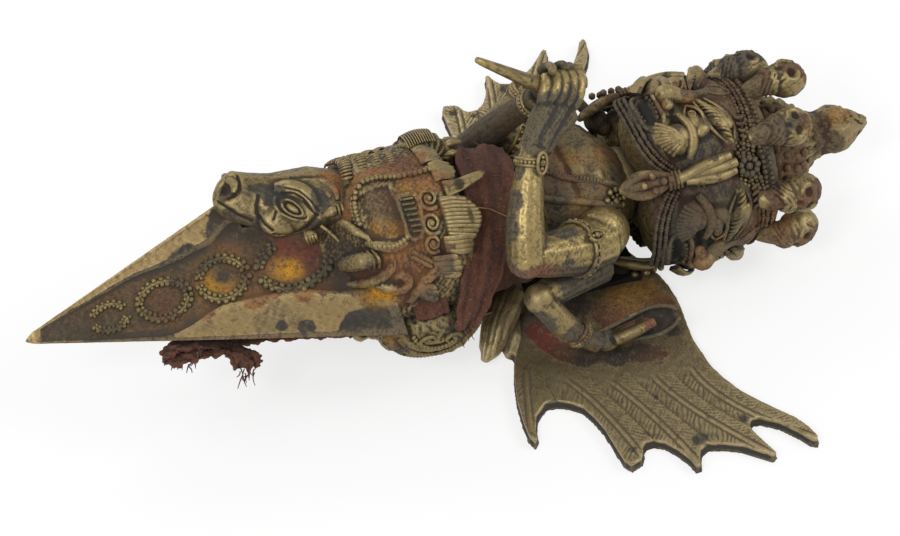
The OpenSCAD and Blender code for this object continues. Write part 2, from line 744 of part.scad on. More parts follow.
// Carries the wing's root to its place, with the feathers pointing away from the middle line
module wing_place(side) { translate([wing_root[0], 0, 0]) mirror([0, side < 0 ? 1 : 0, 0]) children(); }
module wing(side) {
    color(brass) difference() {
        intersection() {
            wing_place(side) {
                linear_extrude(wing_t) polygon(wing_scale * wing_edge);
                linear_extrude(wing_t + shaft_h) for (shaft = wing_shafts, i = [0, 1])
                    hull() for (p = [shaft[i], shaft[i + 1]]) translate(wing_scale * p) circle(0.9, $fn = 8);
            }
            translate([-length, side > 0 ? clear / 2 : -length - clear / 2, -1])
                cube([2 * length, length, 60]);
        }
        rivet_holes();
    }
}
module wing_left() { wing(-1); }
module wing_right() { wing(1); }

rivet_places = [for (x = [-14, 2, 18], y = [-14, 14]) [wing_root[0] + x, y]];
module rivet_holes() {
    for (p = rivet_places) translate([p[0], p[1], -1]) cylinder(h = wing_t + bracket_t + 2, r = rivet_r);
}
module wing_rivets() {
    color(pale_brass) for (p = rivet_places) translate([p[0], p[1], 0]) {
        cylinder(h = wing_t + bracket_t, r = rivet_r);
        translate([0, 0, wing_t + bracket_t]) rotate_extrude()
            polygon(concat([[0, 0]], [for (a = [0:18:90]) [1.7 * rivet_r * cos(a), rivet_r * sin(a)]]));
    }
}
module wing_bracket() {
    color(dark_brass) difference() {
        union() {
            translate([wing_root[0] - 20, -20, wing_t]) cube([44, 40, bracket_t]);
            translate([wing_root[0] - 12, -8, wing_t]) cube([28, 16, tip_rise - 20]);
        }
        rivet_holes();
        lay() torso_body(clear / 4);
        lay() translate([x_torso, -40, -5]) cube([torso_l, 80, 80]);
    }
}

blade();
horse_head();
hip_block();
root_scroll_left();
root_scroll_right();
tang();
waist_cloth();
cloth_tail();
torso();
wing_bracket();
wing_rivets();
wing_left();
wing_right();
arm_front_left();
arm_front_right();
arm_side_left();
arm_side_right();
arm_pegs();
bracelets();
armlets();
held_dagger();
attribute_left();
attribute_right();
necklace();
shoulder_rosettes();
neck_dowel();
head_centre();
head_left();
head_right();
crown_band();
crown_skulls();
ear_ornaments();
hair_back();
hair_bun();
finial();
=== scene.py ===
import math
import random

import bpy
import numpy as np
from mathutils import Matrix, Vector


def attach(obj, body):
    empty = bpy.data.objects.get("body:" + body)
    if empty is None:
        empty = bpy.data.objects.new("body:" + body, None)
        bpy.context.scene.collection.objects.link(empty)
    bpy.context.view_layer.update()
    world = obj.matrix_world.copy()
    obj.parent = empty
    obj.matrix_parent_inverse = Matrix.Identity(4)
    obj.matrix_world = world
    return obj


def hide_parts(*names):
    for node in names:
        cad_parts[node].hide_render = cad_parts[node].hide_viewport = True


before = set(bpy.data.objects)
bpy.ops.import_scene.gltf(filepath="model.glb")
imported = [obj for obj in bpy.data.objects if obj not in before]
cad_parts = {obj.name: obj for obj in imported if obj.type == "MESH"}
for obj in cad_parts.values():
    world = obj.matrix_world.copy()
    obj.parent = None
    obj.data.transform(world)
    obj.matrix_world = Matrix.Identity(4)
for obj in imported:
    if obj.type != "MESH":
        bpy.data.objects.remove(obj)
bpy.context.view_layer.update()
random.seed(7)

# The casting is modelled in millimetres along its own axis: x from the blade tip to the finial,
# z the way the figure faces. The frames carry each piece to its place in metres.
castingPlace = {"tip": -0.169804, "height": 0.05, "tilt": 2.75, "turn": 31, "wings": -0.1698}


def turned(axis, degrees):
    return Matrix.Rotation(math.radians(degrees), 4, axis)


axisFrame = (Matrix.Translation((castingPlace["tip"], 0, castingPlace["height"]))
             @ turned("Y", castingPlace["tilt"]))
lowerFrame = axisFrame @ turned("X", -castingPlace["turn"])
flatFrame = Matrix.Translation((castingPlace["wings"], 0, 0))


# camera, light and floor
def areaLamp(name, place, size, watts):
    bpy.ops.object.light_add(type="AREA", location=place)
    lamp = bpy.context.object
    lamp.name, lamp.data.size, lamp.data.energy = name, size, watts
    lamp.rotation_euler = (-Vector(place)).to_track_quat("-Z", "Y").to_euler()


stageLook = {
    "azimuth": -15, "elevation": 45.7, "roll": -6, "distance": 1.1497, "lens": 122.98,
    "target": (-0.0122, -0.0267, 0.0499), "worldStrength": 0.62, "floorColour": (0.93, 0.93, 0.93, 1),
}
azimuth, elevation = math.radians(stageLook["azimuth"]), math.radians(stageLook["elevation"])
back = Vector((math.sin(azimuth) * math.cos(elevation), -math.cos(azimuth) * math.cos(elevation),
               math.sin(elevation)))
bpy.ops.object.camera_add()
camera = bpy.context.object
camera.data.lens, camera.data.sensor_width = stageLook["lens"], 36
camera.data.clip_start = 0.01
camera.matrix_world = (Matrix.Translation(Vector(stageLook["target"]) + back * stageLook["distance"])
                       @ (-back).to_track_quat("-Z", "Y").to_matrix().to_4x4()
                       @ turned("Z", stageLook["roll"]))
bpy.context.scene.camera = camera
bpy.context.scene.view_settings.view_transform = "Standard"

areaLamp("keyLamp", (-0.55, -0.65, 0.95), 0.35, 5.6)
areaLamp("sideLamp", (0.75, -0.35, 0.7), 0.4, 3)
areaLamp("backLamp", (-0.2, 0.8, 0.7), 0.5, 2.2)


class Term:  # a socket that Python operators can add to, scale and compare
    def __init__(self, shader, socket):
        self.shader, self.socket = shader, socket

    def maths(self, operation, *values, clamp=False):
        return self.shader.node("ShaderNodeMath", {"operation": operation, "use_clamp": clamp}, values)

    def __add__(self, other):
        return self.maths("ADD", self, other)

    __radd__ = __add__

    def __mul__(self, other):
        return self.maths("MULTIPLY", self, other)

    def __sub__(self, other):
        return self.maths("SUBTRACT", self, other)

    def __rsub__(self, other):
        return self.maths("SUBTRACT", other, self)

    def step(self, low, high):  # 0 below low, 1 above high, smooth between
        return self.shader.node("ShaderNodeMapRange", {"interpolation_type": "SMOOTHSTEP", "clamp": True},
                                {"Value": self, "From Min": low, "From Max": high})

    def clamped(self):
        return self.maths("ADD", self, 0.0, clamp=True)


class Shader:
    def __init__(self, name):
        self.material = bpy.data.materials.new(name)
        self.material.use_nodes = True
        self.nodes, self.links = self.material.node_tree.nodes, self.material.node_tree.links
        self.nodes.clear()
        self.surface = self.nodes.new("ShaderNodeBsdfPrincipled")
        self.output = self.nodes.new("ShaderNodeOutputMaterial")
        self.links.new(self.surface.outputs[0], self.output.inputs[0])

    def put(self, socket, value):
        if isinstance(value, Term):
            self.links.new(value.socket, socket)
        else:
            socket.default_value = value

    def node(self, kind, settings=None, values=(), output=0):
        made = self.nodes.new(kind)
        for key, value in (settings or {}).items():
            setattr(made, key, value)
        pairs = values.items() if isinstance(values, dict) else enumerate(values)
        for key, value in pairs:
            self.put(made.inputs[key], value)
        return Term(self, made.outputs[output])

    def mix(self, factor, first, second):
        made = self.nodes.new("ShaderNodeMix")
        made.data_type = "RGBA"
        self.put(made.inputs["Factor"], factor)
        self.put(made.inputs[6], first)
        self.put(made.inputs[7], second)
        return Term(self, made.outputs[2])

    def noise(self, scale, detail, rough, distortion=0):
        place = self.node("ShaderNodeTexCoord", output=3)
        return self.node("ShaderNodeTexNoise", {},
                         {"Vector": place, "Scale": scale, "Detail": detail,
                          "Roughness": rough, "Distortion": distortion})

    def wear(self):
        return self.node("ShaderNodeAttribute", {"attribute_name": "wear"}, output=2)

    def occlusionShade(self, reach):  # painted shade from ambient occlusion: 0 in the open, 1 in a hollow
        sky = self.node("ShaderNodeAmbientOcclusion", {"samples": 8}, {"Distance": reach}, output=1)
        return 1 - sky.step(0.2, 0.9)

    def finish(self, colour, roughness, metallic=None, normal=None):
        self.put(self.surface.inputs["Base Color"], colour)
        self.put(self.surface.inputs["Roughness"], roughness)
        if metallic is not None:
            self.put(self.surface.inputs["Metallic"], metallic)
        if normal is not None:
            self.links.new(normal.socket, self.surface.inputs["Normal"])
        return self.material


def colour(text):  # a screen colour such as "a58f5f" as Blender's linear values
    parts = [int(text[i:i + 2], 16) / 255 for i in (0, 2, 4)]
    return tuple(p / 12.92 if p <= 0.04045 else ((p + 0.055) / 1.055) ** 2.4 for p in parts) + (1,)


def agedBrass(name, bright, mid, dark, patina, shadeAmount, polish):
    shader = Shader(name)
    wear = shader.wear()
    paintNode = shader.nodes.new("ShaderNodeAttribute")
    paintNode.attribute_name = "paint"
    paintColour, paintAmount = Term(shader, paintNode.outputs[0]), Term(shader, paintNode.outputs[3])
    blotch = shader.noise(55, 6, 0.62, 0.6)
    cloud = shader.noise(22, 3, 0.5, 0.3)
    grain = shader.noise(1000, 4, 0.75)
    speck = shader.noise(330, 5, 0.65)
    high = (wear + (speck - 0.5) * 0.45 + (blotch - 0.5) * 0.4).step(0.42, 0.72)
    low = 1 - (wear + (speck - 0.5) * 0.25).step(0.18, 0.50)
    # painted shade: ambient occlusion darkens hollows and the gaps between parts
    paintedShade = shader.occlusionShade(0.0055) * shadeAmount
    body = shader.mix(high, colour(mid), colour(bright))
    cloudy = (blotch + (cloud - 0.5) * 0.8).step(0.57, 0.66) * patina * (1 - high * 0.5)
    body = shader.mix(cloudy, body, colour("413c33"))
    body = shader.mix((speck + (grain - 0.5) * 0.9).step(0.55, 0.68) * 0.55, body, colour(dark))
    stain = (paintAmount * 1.25 + (speck - 0.5) * 1.0 + (blotch - 0.5) * 0.7 - 0.12).step(0.26, 0.60)
    body = shader.mix(stain * (1 - high * 0.25), body, paintColour)
    pits = (grain + (speck - 0.5) * 0.6).step(0.47, 0.60) * stain * 0.62
    body = shader.mix(pits, body, colour("352b26"))
    # dark in low spots from real grime, plus the painted occlusion shade
    grimeAndShade = (low * 0.8 + paintedShade).clamped()
    grimeAndShadeColour = shader.mix(paintAmount.clamped() * 0.4, colour(dark), paintColour)
    body = shader.mix(grimeAndShade * 0.9, body, grimeAndShadeColour)
    matte = (stain * 0.9 + grimeAndShade * 0.8).clamped()
    metal = 0.78 - matte * 0.7
    rough = polish + matte * 0.34 + (speck - 0.5) * 0.25 + (1 - high) * 0.14
    lumps = shader.node("ShaderNodeBump", {}, {"Strength": 0.45, "Distance": 0.0004,
                                               "Height": grain * 0.6 + speck + stain * 0.6})
    return shader.finish(body, rough, metal, lumps)


def velvet(name, bright, dark):
    shader = Shader(name)
    wear = shader.wear()
    pile = shader.noise(1300, 3, 0.8)
    fleck = shader.noise(700, 2, 0.6)
    blotch = shader.noise(70, 4, 0.6)
    tone = ((pile - 0.5) * 1.7 + blotch * 0.6 + wear * 0.45 - 0.22).clamped()
    body = shader.mix(tone, colour(dark), colour(bright))
    body = shader.mix(fleck.step(0.62, 0.72) * 0.45, body, colour("8a6a52"))
    # painted shade: ambient occlusion darkens the folds and the gaps under the cloth
    body = shader.mix(shader.occlusionShade(0.008) * 0.7, body, colour("170d0b"))
    bump = shader.node("ShaderNodeBump", {},
                       {"Strength": 0.8, "Distance": 0.0006, "Height": pile + fleck * 0.5})
    shader.surface.inputs["Sheen Weight"].default_value = 0.04
    return shader.finish(body, 0.95, 0.0, bump)


def paperWhite(name, tone, share):
    shader = Shader(name)
    shader.finish(tone, 0.9)
    path = shader.nodes.new("ShaderNodeLightPath")
    seen = (Term(shader, path.outputs["Is Camera Ray"]) + Term(shader, path.outputs["Is Glossy Ray"])
            + Term(shader, path.outputs["Is Transmission Ray"])).clamped()
    glow = shader.node("ShaderNodeEmission", {}, {"Color": (1, 1, 1, 1), "Strength": 1.0})
    mixed = shader.nodes.new("ShaderNodeMixShader")
    shader.put(mixed.inputs[0], seen * share)
    shader.links.new(shader.surface.outputs[0], mixed.inputs[1])
    shader.links.new(glow.socket, mixed.inputs[2])
    shader.links.new(mixed.outputs[0], shader.output.inputs[0])
    return shader.material


# the sixth number of each brass is the strength of its painted occlusion shade
looks = {
    "blade": agedBrass("bladeBrass", "a28c61", "8b7650", "3a322a", 0.45, 0.8, 0.44),
    "cast": agedBrass("castBrass", "94825a", "5c4f38", "241e1a", 0.5, 1.0, 0.46),
    "dark": agedBrass("darkBrass", "85754f", "463f33", "1d1917", 0.6, 1.0, 0.48),
    "wing": agedBrass("wingBrass", "a8966f", "86795b", "453c31", 0.25, 0.7, 0.46),
    "shine": agedBrass("rubbedBrass", "a08c5c", "7b6b47", "2e2620", 0.35, 0.9, 0.38),
    "velvet": velvet("oldVelvet", "6f4330", "381f14"),
}

bpy.ops.mesh.primitive_plane_add(size=6)
floor = bpy.context.object
floor.name = "floor"
floor.data.materials.append(paperWhite("paperWhite", stageLook["floorColour"], 0.72))
world = bpy.data.worlds.new("studio")
bpy.context.scene.world = world
world.use_nodes = True
world.node_tree.nodes["Background"].inputs[0].default_value = (1, 1, 1, 1)
world.node_tree.nodes["Background"].inputs[1].default_value = stageLook["worldStrength"]
print("camera, light and finishes ready")


# tools of the modelling bench
def deselect():
    for each in list(bpy.context.selected_objects):
        each.select_set(False)


def lump(at, size, turn=(0, 0, 0), rings=12):
    deselect()
    size = (size,) * 3 if isinstance(size, (int, float)) else size
    bpy.ops.mesh.primitive_uv_sphere_add(segments=2 * rings, ring_count=rings, location=at, scale=size,
                                         rotation=[math.radians(t) for t in turn])
    return bpy.context.object


def strands(paths, sides, smooth):  # tapered rods along smooth paths, each path a list of (point, radius)
    deselect()
    curve = bpy.data.curves.new("strands", "CURVE")
    curve.dimensions, curve.bevel_depth, curve.bevel_resolution = "3D", 1, sides
    curve.resolution_u, curve.use_fill_caps = smooth, True
    for path in paths:
        spline = curve.splines.new("BEZIER")
        spline.bezier_points.add(len(path) - 1)
        for knot, (point, radius) in zip(spline.bezier_points, path):
            knot.co, knot.radius = point, radius
            knot.handle_left_type = knot.handle_right_type = "AUTO"
    made = bpy.data.objects.new("strands", curve)
    bpy.context.collection.objects.link(made)
    made.select_set(True)
    bpy.context.view_layer.objects.active = made
    bpy.ops.object.convert(target="MESH")
    return bpy.context.object


def meshOf(name, points, faces):
    mesh = bpy.data.meshes.new(name)
    mesh.from_pydata([tuple(p) for p in points], [], faces)
    mesh.update()
    made = bpy.data.objects.new(name, mesh)
    bpy.context.collection.objects.link(made)
    return made


def loft(rings, closed=True):  # a skin over rows of points; closed rows get an end cap each
    rings = np.asarray(rings, float)
    rows, count = rings.shape[:2]
    across = count if closed else count - 1
    faces = [(j * count + i, j * count + (i + 1) % count, (j + 1) * count + (i + 1) % count,
              (j + 1) * count + i) for j in range(rows - 1) for i in range(across)]
    points = list(rings.reshape(-1, 3))
    if closed:
        for row, flip in ((0, True), (rows - 1, False)):
            middle = len(points)
            points.append(rings[row].mean(0))
            for i in range(count):
                a, b = row * count + i, row * count + (i + 1) % count
                faces.append((middle, b, a) if flip else (middle, a, b))
    made = meshOf("loft", points, faces)
    deselect()
    made.select_set(True)
    bpy.context.view_layer.objects.active = made
    if closed:
        bpy.ops.object.mode_set(mode="EDIT")
        bpy.ops.mesh.select_all(action="SELECT")
        bpy.ops.mesh.normals_make_consistent(inside=False)
        bpy.ops.object.mode_set(mode="OBJECT")
    return made


def beads(places, rings):  # small balls, each (point, radius), copied from one
    deselect()
    bpy.ops.mesh.primitive_uv_sphere_add(segments=rings + 3, ring_count=rings, radius=1)
    ball = bpy.context.object
    corners = np.array([v.co for v in ball.data.vertices])
    faces = [tuple(f.vertices) for f in ball.data.polygons]
    bpy.data.objects.remove(ball)
    points, skin = [], []
    for i, (at, radius) in enumerate(places):
        points.append(corners * radius + np.array(at))
        skin += [tuple(v + i * len(corners) for v in f) for f in faces]
    return meshOf("beads", np.concatenate(points), skin)


def joined(parts):
    deselect()
    for part in parts:
        part.select_set(True)
    bpy.context.view_layer.objects.active = parts[0]
    if len(parts) > 1:
        bpy.ops.object.join()
    bpy.ops.object.transform_apply(location=True, rotation=True, scale=True)
    return bpy.context.object


def modified(obj, kind, **settings):
    deselect()
    obj.select_set(True)
    bpy.context.view_layer.objects.active = obj
    modifier = obj.modifiers.new(kind.lower(), kind)
    for key, value in settings.items():
        setattr(modifier, key, value)
    bpy.ops.object.modifier_apply(modifier=modifier.name)
    return obj


def fused(parts, grain, soften):  # melts overlapping lumps into one cast skin
    body = joined(parts)
    modified(body, "REMESH", mode="VOXEL", voxel_size=grain, adaptivity=0)
    return modified(body, "SMOOTH", factor=0.5, iterations=soften)


def vectors(items, key="co"):
    flat = np.empty(len(items) * 3, np.float32)
    items.foreach_get(key, flat)
    return flat.reshape(-1, 3).astype(float)


def setPoints(mesh, points):
    mesh.vertices.foreach_set("co", points.astype(np.float32).ravel())
    mesh.update()


def relief(obj, heights):  # moves each vertex along its normal by heights(points, normals)
    points, normals = vectors(obj.data.vertices), vectors(obj.data.vertex_normals, "vector")
    setPoints(obj.data, points + normals * heights(points, normals)[:, None])


def ease(low, high, value):
    t = np.clip((value - low) / (high - low), 0, 1)
    return t * t * (3 - 2 * t)


def ripple(points, scale, seed=0.0):  # a smooth uneven field, about -1 to 1
    x, y, z = (points * scale + seed).T
    return (np.sin(1.7 * x + 1.3 * np.sin(1.1 * y + 0.5)) * np.cos(1.5 * y - 1.2 * np.sin(1.3 * z))
            + 0.5 * np.sin(3.1 * z + 2.3 * y + np.sin(2.7 * x)) * np.cos(2.9 * x - 1.1 * z)) / 1.5


def lineGap(a, b, path):  # distance of the places (a, b) from a line through the given points
    gap = np.full(len(a), 1e9)
    for (a0, b0), (a1, b1) in zip(path, path[1:]):
        da, db = a1 - a0, b1 - b0
        t = np.clip(((a - a0) * da + (b - b0) * db) / (da * da + db * db), 0, 1)
        gap = np.minimum(gap, np.hypot(a - a0 - t * da, b - b0 - t * db))
    return gap


def groove(a, b, path, width):  # 1 in the middle of a cut or ridge along the path, 0 beside it
    return np.exp(-(lineGap(a, b, path) / width) ** 2)


def addWear(mesh, strength=1.0):  # high spots near 1, hollows near 0
    points, normals = vectors(mesh.vertices), vectors(mesh.vertex_normals, "vector")
    edges = np.empty(len(mesh.edges) * 2, np.int32)
    mesh.edges.foreach_get("vertices", edges)
    a, b = edges.reshape(-1, 2).T
    count = len(points)
    degree = np.maximum(np.bincount(a, minlength=count) + np.bincount(b, minlength=count), 1)
    soft, wear = points.copy(), np.zeros(count)
    done = 0
    for rounds, weight in ((3, 5.0), (12, 2.6), (40, 1.1)):
        for _ in range(rounds - done):
            total = np.stack([np.bincount(a, soft[b, k], count) + np.bincount(b, soft[a, k], count)
                              for k in range(3)], 1)
            soft = 0.4 * soft + 0.6 * total / degree[:, None]
        done = rounds
        wear += weight * ((points - soft) * normals).sum(1)
    wear = np.clip(0.5 + strength * wear * 0.42, 0, 1)
    mesh.attributes.new("wear", "FLOAT", "POINT").data.foreach_set("value", wear.astype(np.float32))


# the soot pigment also stands for painted shade, as on the shoulders of the side arms
pigments = {"orange": "875a2f", "ochre": "946c2e", "yellow": "c98f1c", "red": "6b3026", "rust": "613a25",
            "sootAndShade": "34322d", "green": "4a4c37", "maroon": "4a2d1d", "earth": "5a4830", "plum": "3e3427"}


# a table of old pigment has rows under each pigment: the place's numbers, then reach and amount
def spotRows(table, at=lambda *place: place):
    return [(at(*row[:-2]), row[-2], pigment, row[-1]) for pigment, rows in table.items() for row in rows]


def bothSides(table):
    return [spot for side in (-1, 1) for spot in spotRows(table, lambda x, y, z: (x, side * y, z))]


def addPaint(mesh, spots):  # each spot is (point or function of the points, reach, pigment, amount)
    points = vectors(mesh.vertices)
    total, mixed = np.full(len(points), 1e-6), np.zeros((len(points), 3))
    for at, reach, pigment, amount in spots:
        if callable(at):
            share = amount * at(points)
        else:
            share = amount * np.exp(-((points - np.array(at)) ** 2).sum(1) / reach ** 2)
        total += share
        mixed += share[:, None] * np.array(colour(pigments[pigment])[:3])
    values = np.concatenate([mixed / total[:, None], np.clip(total, 0, 1)[:, None]], 1)
    layer = mesh.attributes.new("paint", "FLOAT_COLOR", "POINT")
    layer.data.foreach_set("color", values.astype(np.float32).ravel())


# gives a piece its wear, paint, look and place, hangs it under the root and hides the part it stands for,
# if any
def settle(obj, name, place, look, node=None, spots=(), strength=1.0):
    addWear(obj.data, strength)
    addPaint(obj.data, spots)
    obj.data.transform(place @ Matrix.Scale(0.001, 4))
    obj.name = obj.data.name = name
    obj.data.materials.clear()
    obj.data.materials.append(looks[look])
    obj.data.polygons.foreach_set("use_smooth", [True] * len(obj.data.polygons))
    obj.data.update()
    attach(obj, "root")
    if node:
        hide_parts(node)
    lowest = float(vectors(obj.data.vertices)[:, 2].min()) * 1000
    print(name, len(obj.data.polygons), "faces, lowest point", round(lowest, 2), "mm")


def polar(x, angle, r):  # a place round the axis: angle 0 is the front, positive towards the near side
    t = math.radians(angle)
    return (x, -r * math.sin(t), r * math.cos(t))


def around(count, closed=False):  # angles in even steps round a circle
    return [2 * math.pi * i / count for i in range(count + closed)]


def hoop(x, r, count):  # a ring of places round the axis
    return [polar(x, 360 * i / count, r) for i in range(count)]


def rods(table, side=1):  # the rows (x, y, z, radius) of a table as paths for strands
    return [[((x, side * y, z), r) for x, y, z, r in rows] for rows in table.values()]


def movedCopy(obj, move):
    copy = obj.copy()
    copy.data = obj.data.copy()
    bpy.context.collection.objects.link(copy)
    copy.data.transform(move)
    return copy


def mirrored(paths):  # the paths and their mirror images
    return paths + [[((p[0], -p[1], p[2]), r) for p, r in path] for path in paths]


def sections(table, x, *keys):  # the table's values at x, on straight lines between its columns
    return [np.interp(x, table["x"], table[key]) for key in keys]


def between(a, b, c, d, u):  # a smooth curve from b to c, with a and d the places before and after
    return 0.5 * (2 * b + (c - a) * u + (2 * a - 5 * b + 4 * c - d) * u * u
                  + (3 * b - a - 3 * c + d) * u ** 3)


def dragged(path, out, end=0.3):  # a path of points with one radius that tapers at both ends
    last = len(path) - 1
    return [(p, out * (end + (1 - end) * math.sin(math.pi * (0.12 + 0.76 * i / last))))
            for i, p in enumerate(path)]


# blade
bladeSizes = {"length": 134, "front": 53, "rear": 48, "hollow": 0.12, "recess": 1.7, "seatLow": 60,
              "seatHigh": 22, "columns": 230, "round": 110}
bladeFaces = (60, 300, 180)  # the way each face looks, in degrees from the front


def bladeShare(x):  # size of the section at x as a share of the one at the root
    return 0.03 + 0.97 * x / bladeSizes["length"]


def faceReach(x):  # distance of the middle of a blade face from the axis
    s = bladeShare(x)
    full = 0.25 * (bladeSizes["front"] + bladeSizes["rear"]) * s
    return full * (1 - bladeSizes["hollow"]) - bladeSizes["recess"] * min(1, s * 1.6)


# a place on the blade's face: u runs from its middle towards the front edge
def onFace(face, x, u, lift=0.0):
    a = math.radians(face)
    normal = np.array((0, -math.sin(a), math.cos(a)))
    along = np.array((0, math.cos(a), math.sin(a)))
    if face == 300:
        along = -along
    if face == 180:
        along = np.array((0, -1, 0))
    return np.array((x, 0, 0)) + normal * (faceReach(x) + lift) + along * u


def bandEnd(x):  # share of the face, from the front edge, that is the polished front band
    return 0.15 + 0.07 * ease(40, 62, x) - 0.06 * ease(74, 83, x)


def rearStart(x):  # where the polished rear band begins
    return 0.95 - 0.24 * ease(47, 76, x) + 0.06 * ease(95, 122, x)


def faceShare(p):  # share of the way over the face from the front edge
    y, z = np.abs(p[:, 1]), p[:, 2]
    s = bladeShare(p[:, 0])
    u = 0.866 * z - 0.5 * y
    return np.where(z < -0.45 * bladeSizes["rear"] * s, 0.5, (45.9 * s - u) / (87.5 * s))


bladeSpots = {  # place from the tip, place across the face, reach, amount
    "earth": ((10, 0, 3, 0.8), (79, 5, 4, 0.8)),
    "rust": ((20, 4, 3, 0.6), (34, 6, 3, 0.5), (52, -0.5, 4.5, 1.1), (63, 3, 3, 0.6), (106, 8, 6, 0.9),
             (128, -12, 6, 1.0)),
    "sootAndShade": ((31, -1, 3.5, 0.7), (42, -4, 4, 0.5), (61, 12, 4, 0.8), (66, 14, 3.5, 0.9),
             (75.7, 1.8, 2.3, 3.0), (90, 8, 3, 0.7), (80.8, 18, 4.5, 2.4), (86, 15.5, 5, 2.4),
             (90, 17, 5, 1.6), (115, -11, 6, 1.2), (122, -14, 6, 1.3), (91, -23.5, 1.7, 0.8),
             (99.5, -26.5, 2.4, 1.0), (116, -31.5, 3.6, 1.1), (123, -30, 3, 0.8), (131, -33, 4, 0.9)),
    "orange": ((55, -9, 4, 0.6), (66, -9, 4, 1.0), (84, -9.5, 5, 1.2), (83, 11, 4.5, 0.9),
               (78, 13, 4, 0.7), (93.6, 1.6, 4, 2.0), (92, -9, 3.5, 1.2), (102, -13.5, 4, 1.3),
               (110, -13.5, 3.5, 0.9)),
    "yellow": ((69, 0, 3.2, 1.2), (73.5, -4.4, 3.2, 1.3), (98.5, -2.8, 3.3, 3.2),
               (101.5, -3.2, 2.6, 3.0), (129, -21, 5, 1.0)),
    "ochre": ((79, -3.5, 3, 1.1), (70, 5, 3.5, 0.6), (94, -3, 3, 1.2), (124, -20, 4, 0.6)),
    "red": ((99.8, 5.6, 3.6, 3.4), (109, -0.5, 4, 3.0), (104, 2, 3.5, 1.0)),
    "plum": ((84, 23, 5, 1.6), (91, 22, 6, 1.6), (96, 19, 6, 1.0)),
}
bladeSoot = {
    "sootAndShade": ((91, -24, 2.4, 1.15), (99, -27, 2.6, 1.15), (101.6, -28, 2, 1.15), (112.4, -32.4, 3, 1.15),
             (117, -29.6, 3.4, 1.15), (119, -33.6, 3.6, 1.15), (124, -31, 3.8, 1.15),
             (126, -36, 4, 1.15), (130, -33, 3.6, 1.15), (130, -39, 4, 1.15)),
}


def makeBlade():
    sizes = bladeSizes
    rows = []
    for j in range(sizes["columns"] + 1):
        x = sizes["length"] * j / sizes["columns"]
        s = bladeShare(x)
        blunt = min(1, x / 3 + 0.02) ** 0.4
        reach = [sizes[k] * s * blunt for k in ("front", "rear", "rear")]
        row = []
        for k in range(3):
            a, b = math.radians(120 * k), math.radians(120 * (k + 1))
            first = np.array((-reach[k] * math.sin(a), reach[k] * math.cos(a)))
            second = np.array((-reach[(k + 1) % 3] * math.sin(b), reach[(k + 1) % 3] * math.cos(b)))
            outward = np.array((-math.sin((a + b) / 2), math.cos((a + b) / 2)))
            for i in range(sizes["round"]):
                t = i / sizes["round"]
                p = first + (second - first) * t
                front = t if k == 0 else 1 - t if k == 2 else min(t, 1 - t)
                if k == 1:  # the face behind
                    inside = ease(0.2, 0.26, front)
                else:
                    inside = ease(bandEnd(x) - 0.01, bandEnd(x) + 0.03, front)
                    inside *= 1 - ease(rearStart(x) - 0.03, rearStart(x) + 0.01, front)
                inside *= ease(4, 16, x) * (1 - 0.5 * ease(112, 128, x))
                sag = sizes["hollow"] * math.sin(math.pi * t) * 0.25 * (sizes["front"] + sizes["rear"]) * s
                rim = 0.3 * math.exp(-((front - 0.012) / 0.012) ** 2) * min(1, s * 2)
                p = p - outward * (sag + sizes["recess"] * min(1, s * 1.6) * inside - rim)
                # the horse's head sits on the cut front edge
                seat = sizes["seatLow"] - (sizes["seatLow"] - sizes["seatHigh"]) * ease(83, 88, x)
                p[1] = min(p[1], seat)
                row.append((x, p[0], p[1]))
        rows.append(row)
    body = loft(rows)
    modified(body, "SMOOTH", factor=0.5, iterations=1)
    relief(body, lambda p, n: 0.05 * ripple(p, 0.35) + 0.04 * ripple(p, 1.1, 3))

    def within(low, high, x0, x1):  # a stripe of the face between two shares, from x0 to x1
        def share(p):
            x, f = p[:, 0], faceShare(p)
            a, b = low(x), high(x)
            across = ease(a - 0.01, a + 0.01, f) * (1 - ease(b - 0.01, b + 0.01, f))
            return across * ease(x0 - 2, x0 + 2, x) * (1 - ease(x1 - 2, x1 + 2, x))
        return share

    def beside(edge, low, high, x0, x1):  # the same stripe, along an edge of the recess
        return within(lambda x: edge(x) + low, lambda x: edge(x) + high, x0, x1)

    recess = within(lambda x: bandEnd(x) + 0.02, lambda x: rearStart(x) - 0.02, 14, 134)
    spots = [(recess, 0, "earth", 0.62),
             (beside(bandEnd, -0.03, 0.05, 16, 74), 0, "sootAndShade", 0.85),
             (beside(rearStart, -0.1, 0.06, 20, 52), 0, "sootAndShade", 1.1),
             (beside(rearStart, -0.13, -0.01, 52, 74), 0, "sootAndShade", 0.8),
             (within(lambda x: 0.12, lambda x: 0.9, 6, 24), 0, "sootAndShade", 0.8)]
    for face, way in ((60, 1), (300, -1)):
        spots += spotRows(bladeSpots, lambda x, u: onFace(face, x, u, 1))
        spots += spotRows(bladeSoot, lambda x, u: onFace(face, x, way * u, 1))
    settle(body, "bladeCasting", lowerFrame, "blade", "blade", spots=spots)


snakeRings = {  # four ovals; a snake runs along each half, from one angle to the other
    "centre": (31.8, 52.5, 75.3, 102), "lift": (-0.8, -0.4, 0.9, -1.5), "along": (6.6, 9.2, 8.8, 13),
    "across": (5.0, 7.0, 7.8, 9.6), "scale": (0.85, 1.0, 1.05, 1.2),
    "upper": ((28, 150), (8, 172), (20, 172), (14, 62)),
    "lower": ((22, 158), (8, 172), (4, 166), (16, 172)),
}
snakeSpots = {
    "sootAndShade": ((31, -6, 4, 0.5), (60, 3, 4, 0.5), (72, 8, 5, 0.5), (112, -8, 6, 1.0), (98, -12, 4, 0.5),
             (93, 7, 5, 0.6)),
    "rust": ((50, -7, 5, 0.4), (84, 0, 4, 0.5)),
}


